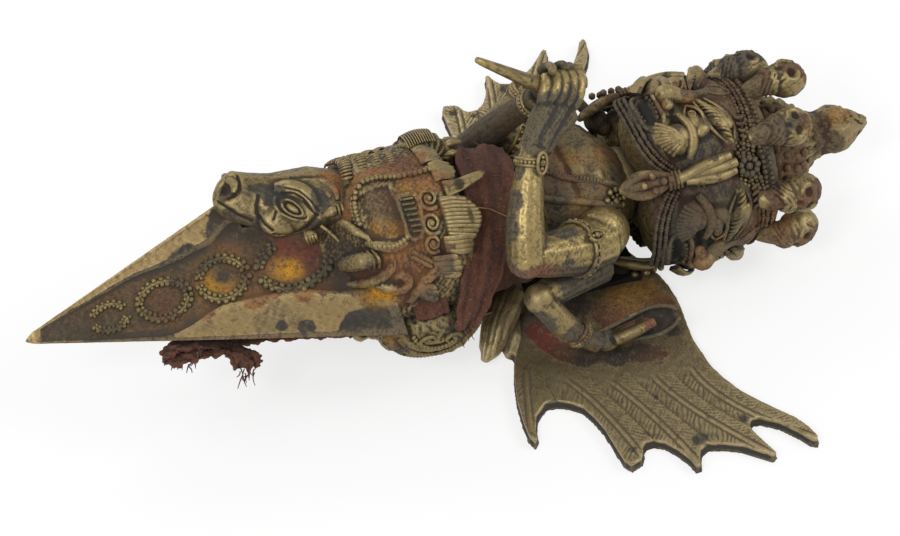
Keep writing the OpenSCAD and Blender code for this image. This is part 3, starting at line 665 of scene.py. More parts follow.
def makeSnakes():
    bodies, scales = [], []
    for face in bladeFaces:
        for centre, lift, along, across, size, upper, lower in zip(*snakeRings.values()):
            for way, (start, stop) in ((1, upper), (-1, lower)):
                def onOval(degrees, out=0.0, sway=0.0, height=0.1):
                    t = math.radians(degrees)
                    x = centre - (along + out) * math.cos(t) + sway
                    return onFace(face, x, lift + way * (across + out) * math.sin(t), height)

                turn = stop - start
                bodies.append([(onOval(start + turn * i / 12), 1.25 * size) for i in range(13)])
                spacing = 2.15 * size
                steps = max(4, int(round((along + across) / 2 * math.radians(turn) / spacing)))
                for i in range(steps + 1):
                    for out in (-1.05, 1.05):
                        bead = onOval(start + turn * i / steps, out * size,
                                      0.25 * math.sin(7 * i + out), 0.85 * size)
                        scales.append((bead, (1.0 + 0.16 * math.sin(5 * i + out * 2)) * size))
    body = joined([strands(bodies, 1, 2), beads(scales, 5)])
    relief(body, lambda p, n: 0.12 * ripple(p, 1.6))
    spots = []
    for face in bladeFaces:
        spots += spotRows(snakeSpots, lambda x, u: onFace(face, x, u, 2))
    spots.append((lambda p: 0.45 + 0 * p[:, 0], 0, "earth", 0.6))
    settle(body, "bladeSnakes", lowerFrame, "dark", strength=0.8, spots=spots)


makeBlade()
makeSnakes()


# horse head on the front edge
horseSections = {
    "x": (79.6, 80.6, 83, 86, 89, 93, 97, 103, 110, 118, 125, 132),
    "top": (34.6, 37.0, 40.0, 42.0, 43.2, 41.6, 40.2, 38.4, 37.9, 37.3, 34.5, 32),
    "crest": (0.6, 1.8, 2.6, 3.2, 3.6, 4, 4.6, 5.4, 6, 6.5, 7.5, 9),
    "side": (1.2, 3.6, 5.6, 7.2, 8.2, 9.2, 11.6, 13.6, 15.4, 16.5, 18, 20),
    "low": (32.6, 30.5, 28, 26, 24.4, 22.5, 19.5, 17.2, 17.5, 18, 16, 12),
}
horseEye = {"at": (106.2, 26.8), "long": 4.1, "wide": 2.1, "turn": -46}
horseRods = {  # rolls that melt into the head: x, distance from the middle, z, radius
    "ear": ((103, 6, 33.4, 3.2), (108, 8.5, 33.2, 3.4), (113, 11.5, 29.5, 3.4), (115, 14, 25, 2.4)),
}
horseNostril = {"rim": ((86.5, 3.4, 41.2, 1.6), (88, 5.8, 39, 1.9), (86.8, 7.2, 36.4, 1.6))}
horseCuts = {  # depth, width and course of each cut line
    "nose": (0.85, 0.62, ((90.4, 42.6), (90.2, 40), (89.4, 37.6), (87.2, 35.6), (84.6, 34.6))),
    "mouth": (0.85, 0.6, ((79.7, 35), (83, 32), (86.4, 28.3), (91, 25))),
    "cheekFold": (0.9, 0.7, ((95.4, 33.4), (93.8, 30.5), (93.2, 27.5), (94.6, 23.6), (97, 20.5))),
    "earRoot": (0.6, 0.5, ((104.2, 32.6), (108, 32), (110.6, 29.6), (112.4, 25.4), (114, 22.6))),
    "earFold": (0.55, 0.5, ((105.5, 34.6), (110, 32.6), (113, 28.6), (115.2, 24))),
    "forehead": (0.4, 0.6, ((109.5, 36.6), (116, 35.6), (122, 34.4))),
    "cheekNick": (0.5, 0.5, ((98.4, 24.6), (100, 27))),
    "jaw": (0.9, 1.0, ((97.5, 18.2), (103.5, 15.6), (109.6, 18), (114.2, 22.4))),
}
maneLocks = {"x": (130.2, 136.2, 141.6, 146.4), "top": (-1, -1, 2, 5), "bottom": (27, 28, 27, 26),
             "wide": (2.7, 2.6, 2.1, 1.9), "lean": (3.6, 3.6, 2.6, 2.0)}
# share of the lock's width, turn, radius, thickness
maneRidge = ((-1, -0.8, 35.5, 0.4), (-0.4, 1.6, 36.7, 0.58), (0.5, 1.7, 36.7, 0.58), (1, -0.6, 35.6, 0.4))
horseSpots = {  # x, distance from the middle, z, reach, amount
    "sootAndShade": ((93.6, 8, 37.6, 1.8, 1.4), (96.6, 8.6, 36.4, 2.4, 1.8), (100, 9.4, 34.6, 2.6, 1.9),
             (103, 10.6, 33, 2.4, 1.6), (98.6, 10.8, 31.2, 2.0, 1.3), (102, 11.6, 30.6, 1.8, 1.2),
             (94, 10, 29, 1.3, 1.4), (93.8, 10.4, 25.6, 1.3, 1.2), (116.4, 13, 28.4, 3.2, 1.6),
             (117, 15, 25, 2.6, 1.4), (113, 15.4, 19.4, 2.2, 1.4), (109, 14.6, 16.6, 1.8, 0.8),
             (98, 11.4, 24.4, 1.2, 1.0), (130, 3, 34, 3.2, 0.5)),
    "plum": ((84, 5, 38, 2.4, 1.8), (82, 5, 35, 2.2, 0.8), (88, 9, 24.6, 3.4, 1.8),
             (83, 7, 28.4, 3, 1.8), (92.6, 9, 22, 3, 1.4)),
    "orange": ((123, 6, 33.4, 3.6, 1.3), (127, 10, 30, 4, 1.2), (124, 13, 28, 2.4, 0.9),
               (134, 14, 32, 2.4, 0.7), (140, 16, 32, 2.4, 0.6)),
    "rust": ((126, 17, 22, 3, 1.1),),
}


def roundLoop(points, count):  # a smooth closed line through the points
    points = np.array(points, float)
    n, rows = len(points), []
    for i in range(count):
        t = i * n / count
        k, u = int(t), t - int(t)
        rows.append(between(*(points[(k + j) % n] for j in (-1, 0, 1, 2)), u))
    return rows


def makeHorse():
    rows = []
    for x in np.linspace(79.6, 131, 60):
        top, crest, side, low = sections(horseSections, x, "top", "crest", "side", "low")
        tall = top - low
        half = [(crest * 0.5, top), (crest, top - 1.3), (side * 0.62 + crest * 0.38, top - 0.36 * tall),
                (side, low + 0.32 * tall), (side * 0.92, low + 0.06 * tall), (side * 0.6, low - 1.5)]
        loop = half + [(-y, z) for y, z in reversed(half)]
        rows.append([(x, y, z) for y, z in roundLoop(loop, 72)])
    parts = [loft(rows)]
    for side in (-1, 1):
        parts += [strands(rods(horseRods, side), 5, 4), strands(rods(horseNostril, side), 4, 4),
                  lump((101.5, 10.2 * side, 23.5), (8.2, 3.6, 6.8), (18 * side, 0, 0))]
    head = fused(parts, 0.42, 2)
    cx, cz = horseEye["at"]
    turn = math.radians(horseEye["turn"])

    def shape(p, n):
        x, y, z = p.T
        y = np.abs(y)
        flank = ease(0.15, 0.45, np.abs(n[:, 1])) * ease(2.2, 3.4, y)
        along = (x - cx) * math.cos(turn) + (z - cz) * math.sin(turn)
        across = -(x - cx) * math.sin(turn) + (z - cz) * math.cos(turn)
        narrowing = 1 - 0.16 * along / horseEye["long"]
        almond = np.hypot(along / horseEye["long"], across / (horseEye["wide"] * narrowing))

        def ring(share, width):
            return np.exp(-((almond - share) / width) ** 2)

        carved = sum(depth * groove(x, z, path, width) for depth, width, path in horseCuts.values())
        rim = 0.75 * ring(1.0, 0.13) - 0.7 * ring(0.72, 0.12) + 0.55 * np.exp(-(almond / 0.45) ** 4)
        rim += (0.35 * ring(1.72, 0.12) - 0.5 * ring(1.4, 0.12)) * ease(1.5, -1, across)
        nostril = np.exp(-(((x - 83.6) / 2.1) ** 2 + ((z - 38.2) / 2.5) ** 2)) * ease(2, 3.5, y)
        lip = np.exp(-(((x - 83.6) / 3.3) ** 2 + ((z - 38.2) / 3.7) ** 2))
        return flank * (rim - carved) - 2.2 * nostril + 0.6 * lip * ease(2, 4, y) + 0.06 * ripple(p, 0.9)

    relief(head, shape)
    # bud, striped knob, cord and a curl beside the cheek
    extras = mirrored([[((115.4, 16.2, 21.6), 0.3), ((117.6, 16.8, 22.2), 1.5), ((120, 17.4, 22.8), 2.2),
                        ((121.6, 17.8, 23), 1.6)],
                       dragged([(114.6, 17.2, 18.6), (117.6, 18.6, 15), (120.6, 19.6, 10),
                                (122.9, 19.4, 5.4)], 0.85, 0.6)])
    for k in range(4):  # rings behind the bud, and stripes of the knob
        extras += mirrored([
            [((122.6 + 1.5 * k, 15.6, 25.2 - 0.2 * k), 0.5), ((122.4 + 1.5 * k, 18.2 + 0.2 * k, 23), 0.8),
             ((122.6 + 1.5 * k, 18.0, 20.4), 0.5)]])
        extras += mirrored([
            [((108.4 + 1.2 * k, 15.4, 17.6 - 0.3 * k), 0.4), ((108.2 + 1.2 * k, 17.4, 15.4), 0.75),
             ((108.8 + 1.2 * k, 16.8, 13), 0.4)]])
    extras += mirrored([
        dragged([(118, 7, 33.4), (121, 9.5, 32), (123.5, 13, 29), (123, 16, 26)], 1.5, 0.4),
        dragged([(116.6, 10, 31), (119.5, 12, 29.6), (121, 14.6, 27.4)], 1.3, 0.4),
        dragged([(115.6, 12.5, 28), (118, 14, 26.6), (119.6, 15.8, 25)], 1.2, 0.4)])
    knobs = [lump((110, 15.8 * side, 15.2), (2.6, 1.9, 2.6), rings=7) for side in (-1, 1)]
    # mane: four broad locks on each side, each with curved ridges
    locks, ridges = [], []
    for x0, top, bottom, wide, lean in zip(*maneLocks.values()):
        for side in (-1, 1):
            lock = []
            for t in (0, 0.25, 0.5, 0.75, 1):
                at = polar(x0 + 1.4 - lean * t ** 1.5, side * (top + (bottom - top) * t), 34.4 - 0.5 * t)
                lock.append((at, wide * (0.8 + 0.5 * t * (1 - t) - 0.35 * t ** 3)))
            locks.append(lock)
            for k in range(7):
                t = (k + 0.5) / 7.4
                a, x = top + (bottom - top) * t, x0 + 1.4 - lean * t ** 1.5
                half = wide * (0.95 - 0.25 * t * t)
                ridges.append([(polar(x + half * share, side * (a + turn), r), thick)
                               for share, turn, r, thick in maneRidge])
    head = joined([head, strands(extras, 3, 4), strands(locks, 4, 4), strands(ridges, 2, 2)] + knobs)
    settle(head, "horseHead", lowerFrame, "cast", "horse_head", spots=bothSides(horseSpots))


makeHorse()


# apron block between the blade and the waist
apronSizes = {"start": 113, "end": 166, "grain": 0.55}
apronSides = ((60, 1), (300, -1), (180, 1))  # the middle of each face, and the way its pattern runs
apronReliefs = {  # x, offset in degrees, lift, radius
    "tongue": ((119.6, -12.5, 4.2, 0.5), (121.8, -7, 5.4, 1.6), (124.2, 1, 4.2, 1.9),
               (126.6, 6, 2.6, 1.3), (128.6, 9, 1.4, 0.7)),
    "shellStrap": ((127, 10, 0.8, 1.2), (130, 13.5, 0.8, 2.0), (133.5, 15.8, 0.5, 2.2),
                   (137, 16.6, 0.4, 2.0), (141, 15.4, 0.3, 1.5)),
    "ribbedLobe": ((118, 22, 2.4, 2.2), (121, 21, 3.2, 3.2), (125, 20.6, 2.2, 3.5),
                   (129.6, 20.4, 0.6, 2.2)),
    "upperSerpent": ((117.5, 42, 1.4, 1.3), (121.4, 39.8, 1.6, 1.7), (126.9, 35, 0.9, 2.0),
                     (131, 30.4, 0.6, 2.0), (134.5, 25.5, 0.3, 1.6)),
    "lowerSerpent": ((126.5, 38, 0.8, 1.3), (130.6, 39.2, 0.6, 1.9), (135.1, 42.2, 0.4, 2.0),
                     (138.6, 38.4, 0.6, 1.9), (137, 33.6, 0.6, 1.6), (134.4, 33, 0.4, 1.2)),
    "panelFrame": ((142, -9.2, 0.2, 1.0), (145.4, -9, 0.5, 1.3), (148.8, -7.4, 0.4, 1.1),
                   (148.4, 4, 0.4, 1.1), (147, 14, 0.3, 1.0), (143, 15, 0.3, 0.9), (141.6, 4, 0.4, 1.0),
                   (142, -9.2, 0.2, 1.0)),
    "bulge": ((152, 34, -0.2, 2.0), (147, 38, 0.4, 2.4), (142, 45, 0.2, 2.2), (138, 53, -0.4, 1.6)),
}
apronLeaves = {  # root and tip: x and first and last offset, then the tip's bulge; ribs; lift at both
    "ridge": ((160, -11, -1), (175.4, -13.2, -9.6, 1.5), 3, (1.0, 2.6)),
    "front": ((156.5, -2, 18), (166.0, 0.5, 23, 4.4), 10, (1.0, 4.2)),
    "middle": ((154.4, 18, 27), (163.6, 20, 30, 1.6), 4, (1.0, 3.4)),
    "side": ((149, 27, 38), (157.2, 28, 42, 1.6), 4, (0.8, 2.6)),
    "rear": ((142, 40, 49), (147.6, 43, 55, 1.0), 3, (0.8, 1.8)),
    "crest": ((158, -26, -12), (165, -27, -13, 2), 4, (0.2, 1.6)),
}
apronBorder = ((158, -21.5), (152, -21.2), (146, -22), (138, -25.6), (132.6, -25.4), (129, -22),
               (127.4, -16), (126.6, -8), (126.8, 1))
apronCurls = ((153.2, -3.6, 4.0), (151.6, 9.6, 3.9), (150.4, 20.4, 3.3))  # x, offset, size
apronSpots = {  # x, offset from the middle of the face in degrees, reach, amount
    "earth": ((134, -13, 4.5, 1.1), (138, -4, 5, 1.0), (133, -4, 4, 0.8)),
    "ochre": ((131, 4, 3.2, 1.4), (136, 7, 3, 1.1), (147, -14, 3.4, 1.3), (151, -10, 3, 1.0)),
    "orange": ((140, 8, 2.4, 1.2), (150, -17, 3, 1.8), (154, -13, 3.6, 1.6), (159, -12, 3.6, 1.6),
               (150.5, -1, 2.6, 1.5), (149.6, 5, 2.4, 1.3), (155.6, 4, 2.4, 1.2), (147.6, 18, 3, 1.7),
               (138, 22, 4, 1.5), (133, 21, 3, 1.2), (145, 24, 3, 1.1), (135, 30, 3, 1.4),
               (142, 40, 4, 1.4), (147, 34, 4, 1.2), (124, -16, 4, 1.4), (129, -30, 4, 1.1),
               (136, -33, 4, 1.1), (144, -29, 4, 1.2), (156, -34, 4, 0.8)),
    "rust": ((139, -10, 4, 0.7), (146, 12, 2.4, 1.0), (152, 26, 4, 1.2), (141, 30, 4.6, 1.5),
             (129, 28, 3.4, 1.4), (124, 32, 3.4, 1.3), (136, 48, 5, 1.2), (122, -22, 4, 1.2),
             (152, -28, 5, 1.3), (148, -38, 5, 1.2), (158, 22, 3, 0.7)),
    "yellow": ((130, 46, 3.6, 1.3), (126, 43, 3, 1.0)),
    "green": ((123, 45, 3, 0.7), (122.5, 20.6, 3.6, 1.4), (127, 21, 3, 1.2), (144.6, 0, 3, 1.0),
              (145, 9, 3, 0.9), (165, -11.5, 3.5, 0.6)),
    "maroon": ((118, 36, 4, 1.2),),
    "sootAndShade": ((116, 28, 4, 1.0), (153, 34, 5, 0.8), (145, 50, 4, 1.2)),
    "plum": ((118, 5, 4, 1.2), (121, 11, 4, 1.2), (115, 16, 5, 1.0)),
}


def apronReach(x, angle):  # radius of the block's skin; angle 0 is the front ridge
    corner = abs(((angle + 60) % 120) - 60) / 60
    swell = float(ease(113, 134, x)) - 0.22 * float(ease(158, 168, x))
    under = abs(((angle + 180) % 360) - 180)
    waves = 1.04 - 0.05 * math.cos(math.radians(180 * corner))
    return (17 + 19.5 * swell) * waves - 4 * float(ease(120, 142, under)) * swell


def onApron(face, way, x, offset, lift):  # a place over the skin, offset from the middle of a face
    angle = face + way * offset
    return polar(x, angle, apronReach(x, angle) + lift)


def fanLeaf(base, tip, ribs, lift, at):  # a pleated leaf with a bulging tip
    rows = []
    across = ribs * 6
    for j in range(13):
        t = j / 12
        row = []
        for i in range(across + 1):
            s = i / across
            offset = (base[1] + (base[2] - base[1]) * s) * (1 - t) + (tip[1] + (tip[2] - tip[1]) * s) * t
            notch = abs(math.sin(math.pi * ribs * s))
            x = base[0] + (tip[0] + tip[3] * math.sin(math.pi * s) + 0.9 * (notch - 0.6) * t - base[0]) * t
            rise = lift[0] + (lift[1] - lift[0]) * t
            row.append(at(x, offset, rise + 0.55 * notch * (0.4 + 0.6 * t) + 0.8 * math.sin(math.pi * t)))
        rows.append(row)
    leaf = loft(rows, closed=False)
    return modified(leaf, "SOLIDIFY", thickness=1.3, offset=0)


def makeApron():
    rows = [[polar(x, angle, apronReach(x, angle)) for angle in range(0, 360, 5)]
            for x in np.linspace(apronSizes["start"], apronSizes["end"], 24)]
    parts = [loft(rows)]
    reliefs, pearls, fine, leaves = [], [], [], []
    for face, way in apronSides:
        def at(x, offset, lift, face=face, way=way):
            return onApron(face, way, x, offset, lift)

        reliefs += [[(at(x, o, lift), r) for x, o, lift, r in rows] for rows in apronReliefs.values()]
        for cx, co, size in apronCurls:
            curl = []
            for i in range(19):
                t = math.radians(60 + 36 * i)
                r = size * (1 - 0.05 * i)
                curl.append((at(cx + r * math.cos(t), co + r * math.sin(t) / 0.62, 0.7), 0.85 - 0.012 * i))
            fine.append(curl)
            pearls.append((at(cx, co, 0.9), 1.25))
        # chunky pearl border: along the top, round the corner and down
        for (x0, o0), (x1, o1) in zip(apronBorder, apronBorder[1:]):
            steps = max(2, int(round(math.hypot(x1 - x0, (o1 - o0) * 0.6) / 1.75)))
            for i in range(steps):
                x, o = x0 + i / steps * (x1 - x0), o0 + i / steps * (o1 - o0)
                pearls += [(at(x, o, 0.7), 1.2), (at(x - 0.8, o - 2.0, 0.2), 1.0)]
        for i in range(8):
            for off in (0, 2.6):
                pearls.append((at(142.4 + 0.85 * i - 0.6 * off / 2.6, 22 + 1.1 * i + off, 0.6), 1.0))
        for i in range(9):  # little shells on the strap
            pearls.append((at(129 + 1.5 * i, 12.6 + 3.6 * math.sin(0.2 + i / 3), 2.4), 1.15))
        for i in range(7):  # ribs of the block and of the lobe
            down, along = 0.45 * i, 1.6 * i
            fine += [[(at(142.6 + 0.2 * i, -6.6 + 3 * i, 0.9), 0.5),
                      (at(147.6 + 0.05 * i, -6 + 3 * i, 0.9), 0.5)],
                     [(at(118.4 + along, 15.2, 4.4 - down), 0.5),
                      (at(119.4 + along, 20.5, 6.5 - down), 0.62),
                      (at(119.4 + along, 26, 4.8 - down), 0.5)]]
        for i in range(11):  # scales of the serpents
            x, o = 119 + 1.45 * i, 44.4 - 1.5 * i
            fine.append([(at(x, o, 1.2), 0.42), (at(x + 1.2, o - 6, 2.0), 0.5)])
        leaves += [fanLeaf(*leaf, at) for leaf in apronLeaves.values()]
        if face != 180:
            leaves.append(fanLeaf((156, -58, -27), (163, -60, -27, 1.5), 8, (0.2, 0.6), at))
    body = fused(parts + [strands(reliefs, 3, 4)], apronSizes["grain"], 2)

    def shape(p, n):
        angle = np.degrees(np.arctan2(-p[:, 1], p[:, 2])) % 360
        offset = np.where(angle < 120, angle - 60, np.where(angle < 240, angle - 180, 300 - angle))
        x = p[:, 0]
        panel = ease(127.5, 129.5, x) * (1 - ease(140, 141.5, x))
        panel *= ease(-21, -18, offset) * (1 - ease(9, 12, offset))
        return 0.16 * ripple(p, 0.55) + 0.16 * ripple(p, 1.5, 5) - 0.8 * panel

    relief(body, shape)
    collar = loft([hoop(x, r, 48) for x, r in ((150, 30), (158, 34), (162, 32), (163, 12))])
    # the round head on the ridge, hair-lined, and its small leaf
    knob = fused([lump((161.6, 0, 31), (9.6, 9.2, 9.6)), lump((156, 0, 32), (5, 8, 6)),
                  lump((169.5, 0, 29), (5.5, 6.5, 5.5))], 0.45, 2)

    def hairLines(p, n):
        x, y, z = p.T
        far = np.hypot(x - 161, (z - 30) * 0.9)
        lines = 0.28 * np.sin(np.arctan2(z - 30, x - 161) * 17 + 0.5 * np.abs(y)) * ease(3, 5, far)
        parting = 0.7 * groove(np.abs(y), z, ((0, 36.6), (6.5, 35.4)), 0.7) * ease(153, 156, x)
        band = 0.45 * groove(x, z, ((153.5, 33), (156, 37.6), (161, 39.8), (166, 38.6)), 0.9)
        return (lines - parting * (1 - ease(166, 168, x)) + band * ease(2, 4, np.abs(y))
                + 0.1 * ripple(p, 1.2))

    relief(knob, hairLines)
    crest = [[(polar(155.4 + 0.95 * k, a, 39.9 + math.sin(k * 0.27) - 0.013 * a * a), 0.32)
              for a in (-13, -7, 0, 7, 13)] for k in range(12)]
    leaf = mirrored([dragged([(169, 2.5, 32), (172.5, 3, 33.4), (176.6, 3.4, 33)], 1.7, 0.15),
                     dragged([(168.5, 5.5, 30), (172, 6.6, 30.4), (175.6, 7, 28.6)], 1.5, 0.15)])
    body = joined([body, collar, knob, strands(crest, 2, 2), strands(leaf, 3, 3)])
    trim = joined([beads(pearls, 5), strands(fine, 2, 3)] + leaves)
    spots = []
    for face, way in apronSides:
        spots += spotRows(apronSpots, lambda x, offset: onApron(face, way, x, offset, 0.5))
    spots += bothSides({"sootAndShade": ((160, 5, 36, 3.4, 1.2), (174, 0, 31, 4, 0.5)),
                        "rust": ((165, 8, 27, 3, 0.9),)})
    settle(body, "apronCasting", lowerFrame, "cast", "hip_block", spots=spots)
    settle(trim, "apronTrim", lowerFrame, "cast", spots=spots)


makeApron()


# shell scrolls at the blade's root
scrollSizes = {"root": 0.147, "squash": 0.62, "swirl": 7, "nearTurn": 138, "farTurn": -113}


def makeScroll(name, node, side, turn):
    parts = [lump((0, -3 * side, 36), (19, 10.6, 10.5)), lump((-9, -2 * side, 35), (12, 8.4, 8.6)),
             lump((3, -5 * side, 37), (13.5, 8.6, 9.6))]
    body = fused(parts, 0.5, 2)

    def shape(p, n):
        y = p[:, 1] * side - scrollSizes["swirl"]
        r = np.hypot(p[:, 0] * scrollSizes["squash"], y)
        outer = ease(30, 36, p[:, 2]) * ease(5, 7, r)
        flutes = 0.16 * np.sin(np.degrees(np.arctan2(y, p[:, 0])) * 0.42) * ease(9, 13, r)
        return outer * (0.5 * np.sin(r * 1.55) + flutes) + 0.15 * ripple(p, 0.9)

    relief(body, shape)

    def skin(x, y):  # height of the shell over a place
        return max(46.4 - 0.02 * x * x - 0.05 * (y + 3) ** 2, 36.5)

    curls, arcs = [], []
    for cx, cy in ((-6, 2.6), (4, 1.6)):
        curl = []
        for i in range(11):
            r = 3.6 - 0.28 * i
            place = (1 + cx + r * math.cos(0.8 * i), side * (cy + r * math.sin(0.8 * i)),
                     skin(cx, cy) + 0.2)
            curl.append((place, 0.8))
        curls.append(curl)
    for r, size in ((7.6, 1.05), (11.6, 1.1), (15.6, 0.95)):
        steps = int(r * 2.3)
        for i in range(steps + 1):
            t = math.radians(-160 + 140 * i / steps)
            x = r / scrollSizes["squash"] * math.cos(t) * 0.82
            y = scrollSizes["swirl"] + r * 1.08 * math.sin(t)
            arcs.append(((x, side * y, skin(x, y)), size))
    body = joined([body, strands(curls, 3, 3), beads(arcs, 5)])
    spots = [((-14, -2 * side, 42), 6, "sootAndShade", 0.6), ((0, -4 * side, 47), 7, "maroon", 0.4),
             ((-18, 4 * side, 38), 6, "ochre", 0.6), ((6, 8 * side, 44), 6, "green", 0.6)]
    place = lowerFrame @ Matrix.Translation((scrollSizes["root"], 0, 0)) @ turned("X", turn)
    settle(body, name, place, "dark", node, spots)


makeScroll("rootScrollNear", "root_scroll_left", 1, scrollSizes["nearTurn"])
makeScroll("rootScrollFar", "root_scroll_right", -1, scrollSizes["farTurn"])


# wings
wingSizes = {"thick": 4.6, "grain": 0.5, "barb": 2.1}
wingEdge = ((176, 0), (175, 14), (176, 30), (176.5, 38), (172.5, 48.5), (169.5, 60), (168, 71),
            (167.6, 78), (168.6, 82), (170.2, 79.5), (171, 75.5), (173.5, 69.5), (179, 65), (184, 66),
            (188, 68.5), (191.5, 72.5), (193.5, 78.5), (195, 86), (195.5, 95), (196, 103), (197.6, 106),
            (202, 104.6), (203.8, 102), (204.6, 99.5), (206.4, 98), (209.5, 98), (213, 100.5), (216, 105),
            (218.5, 111), (219.6, 116), (221, 116), (222.4, 112), (224, 109), (227.5, 107.5),
            (233, 109.5), (239.5, 113.5), (244.5, 118.8), (247.6, 122), (249, 121), (247.6, 116.5),
            (245.4, 109), (245.2, 105), (247, 102.8), (250, 103), (256, 108), (260.5, 114.5),
            (263.4, 120), (265.4, 121.5), (266.4, 119.5), (265.2, 114.5), (262.5, 108.5), (257.5, 101.5),
            (252.5, 94), (248.5, 87.5), (245.5, 79.5), (243.5, 72.5), (243, 64.5), (242.5, 57),
            (243.5, 48), (244.5, 40.5), (245, 34), (244.5, 26), (243.5, 20), (241, 13.5), (236, 0))
wingShafts = (((178.4, 45), (173, 62), (168.4, 79.5)), ((189.5, 55.5), (196.5, 74), (202, 99)),
              ((205, 63), (211, 80), (216.5, 96), (220.4, 113.5)),
              ((220.5, 65.5), (226, 83), (233, 97), (247, 121)),
              ((235.5, 68), (240, 86), (248, 99), (264.6, 119.6)))
wingTuft = {  # x, distance from the axis, z, radius
    "upper": ((184, 14, 13, 6.5), (178, 21, 12, 7.2), (172.6, 28, 9.5, 6.2), (168, 33.6, 7, 4.4),
              (164.4, 37, 5.4, 1.4)),
    "lower": ((180, 20, 6, 5), (177.5, 30, 4.4, 5), (175.6, 37, 3.4, 2.6)),
}
wingSpots = {
    "red": ((188, 30, 6, 4, 1.4), (190, 37, 6, 4, 1.4)),
    "rust": ((194, 44, 5.5, 4.5, 1.2), (238, 37, 6, 7, 0.9), (217, 35, 7, 7, 1.0), (229, 59, 5, 5, 0.5),
             (220, 58, 5, 5, 0.4)),
    "sootAndShade": ((200, 50, 5, 5, 0.9), (212, 54.5, 5, 5, 1.0), (222, 55, 5, 5, 0.9), (237, 50, 5, 4, 0.8),
             (204, 22, 8, 8, 1.4), (196, 18, 9, 7, 1.2), (179, 8, 8, 6, 0.9),
             (181.5, 67, 4.6, 3.4, 0.7), (218, 79, 4.6, 2.2, 0.6), (225.5, 104.5, 4.6, 3.4, 0.9),
             (244.5, 101.5, 4.6, 3, 0.8), (200, 100, 4.6, 3, 0.6), (241, 60, 4.6, 4, 0.5)),
    "ochre": ((234, 24, 6, 8, 0.8), (226, 27, 6, 7, 0.9), (174, 30, 12, 5, 0.4)),
    "orange": ((228, 38, 6, 6, 0.7),),
    "maroon": ((184, 20, 10, 5, 1.0), (205, 46, 6, 7, 0.6), (208, 95, 4.6, 3, 0.4)),
}


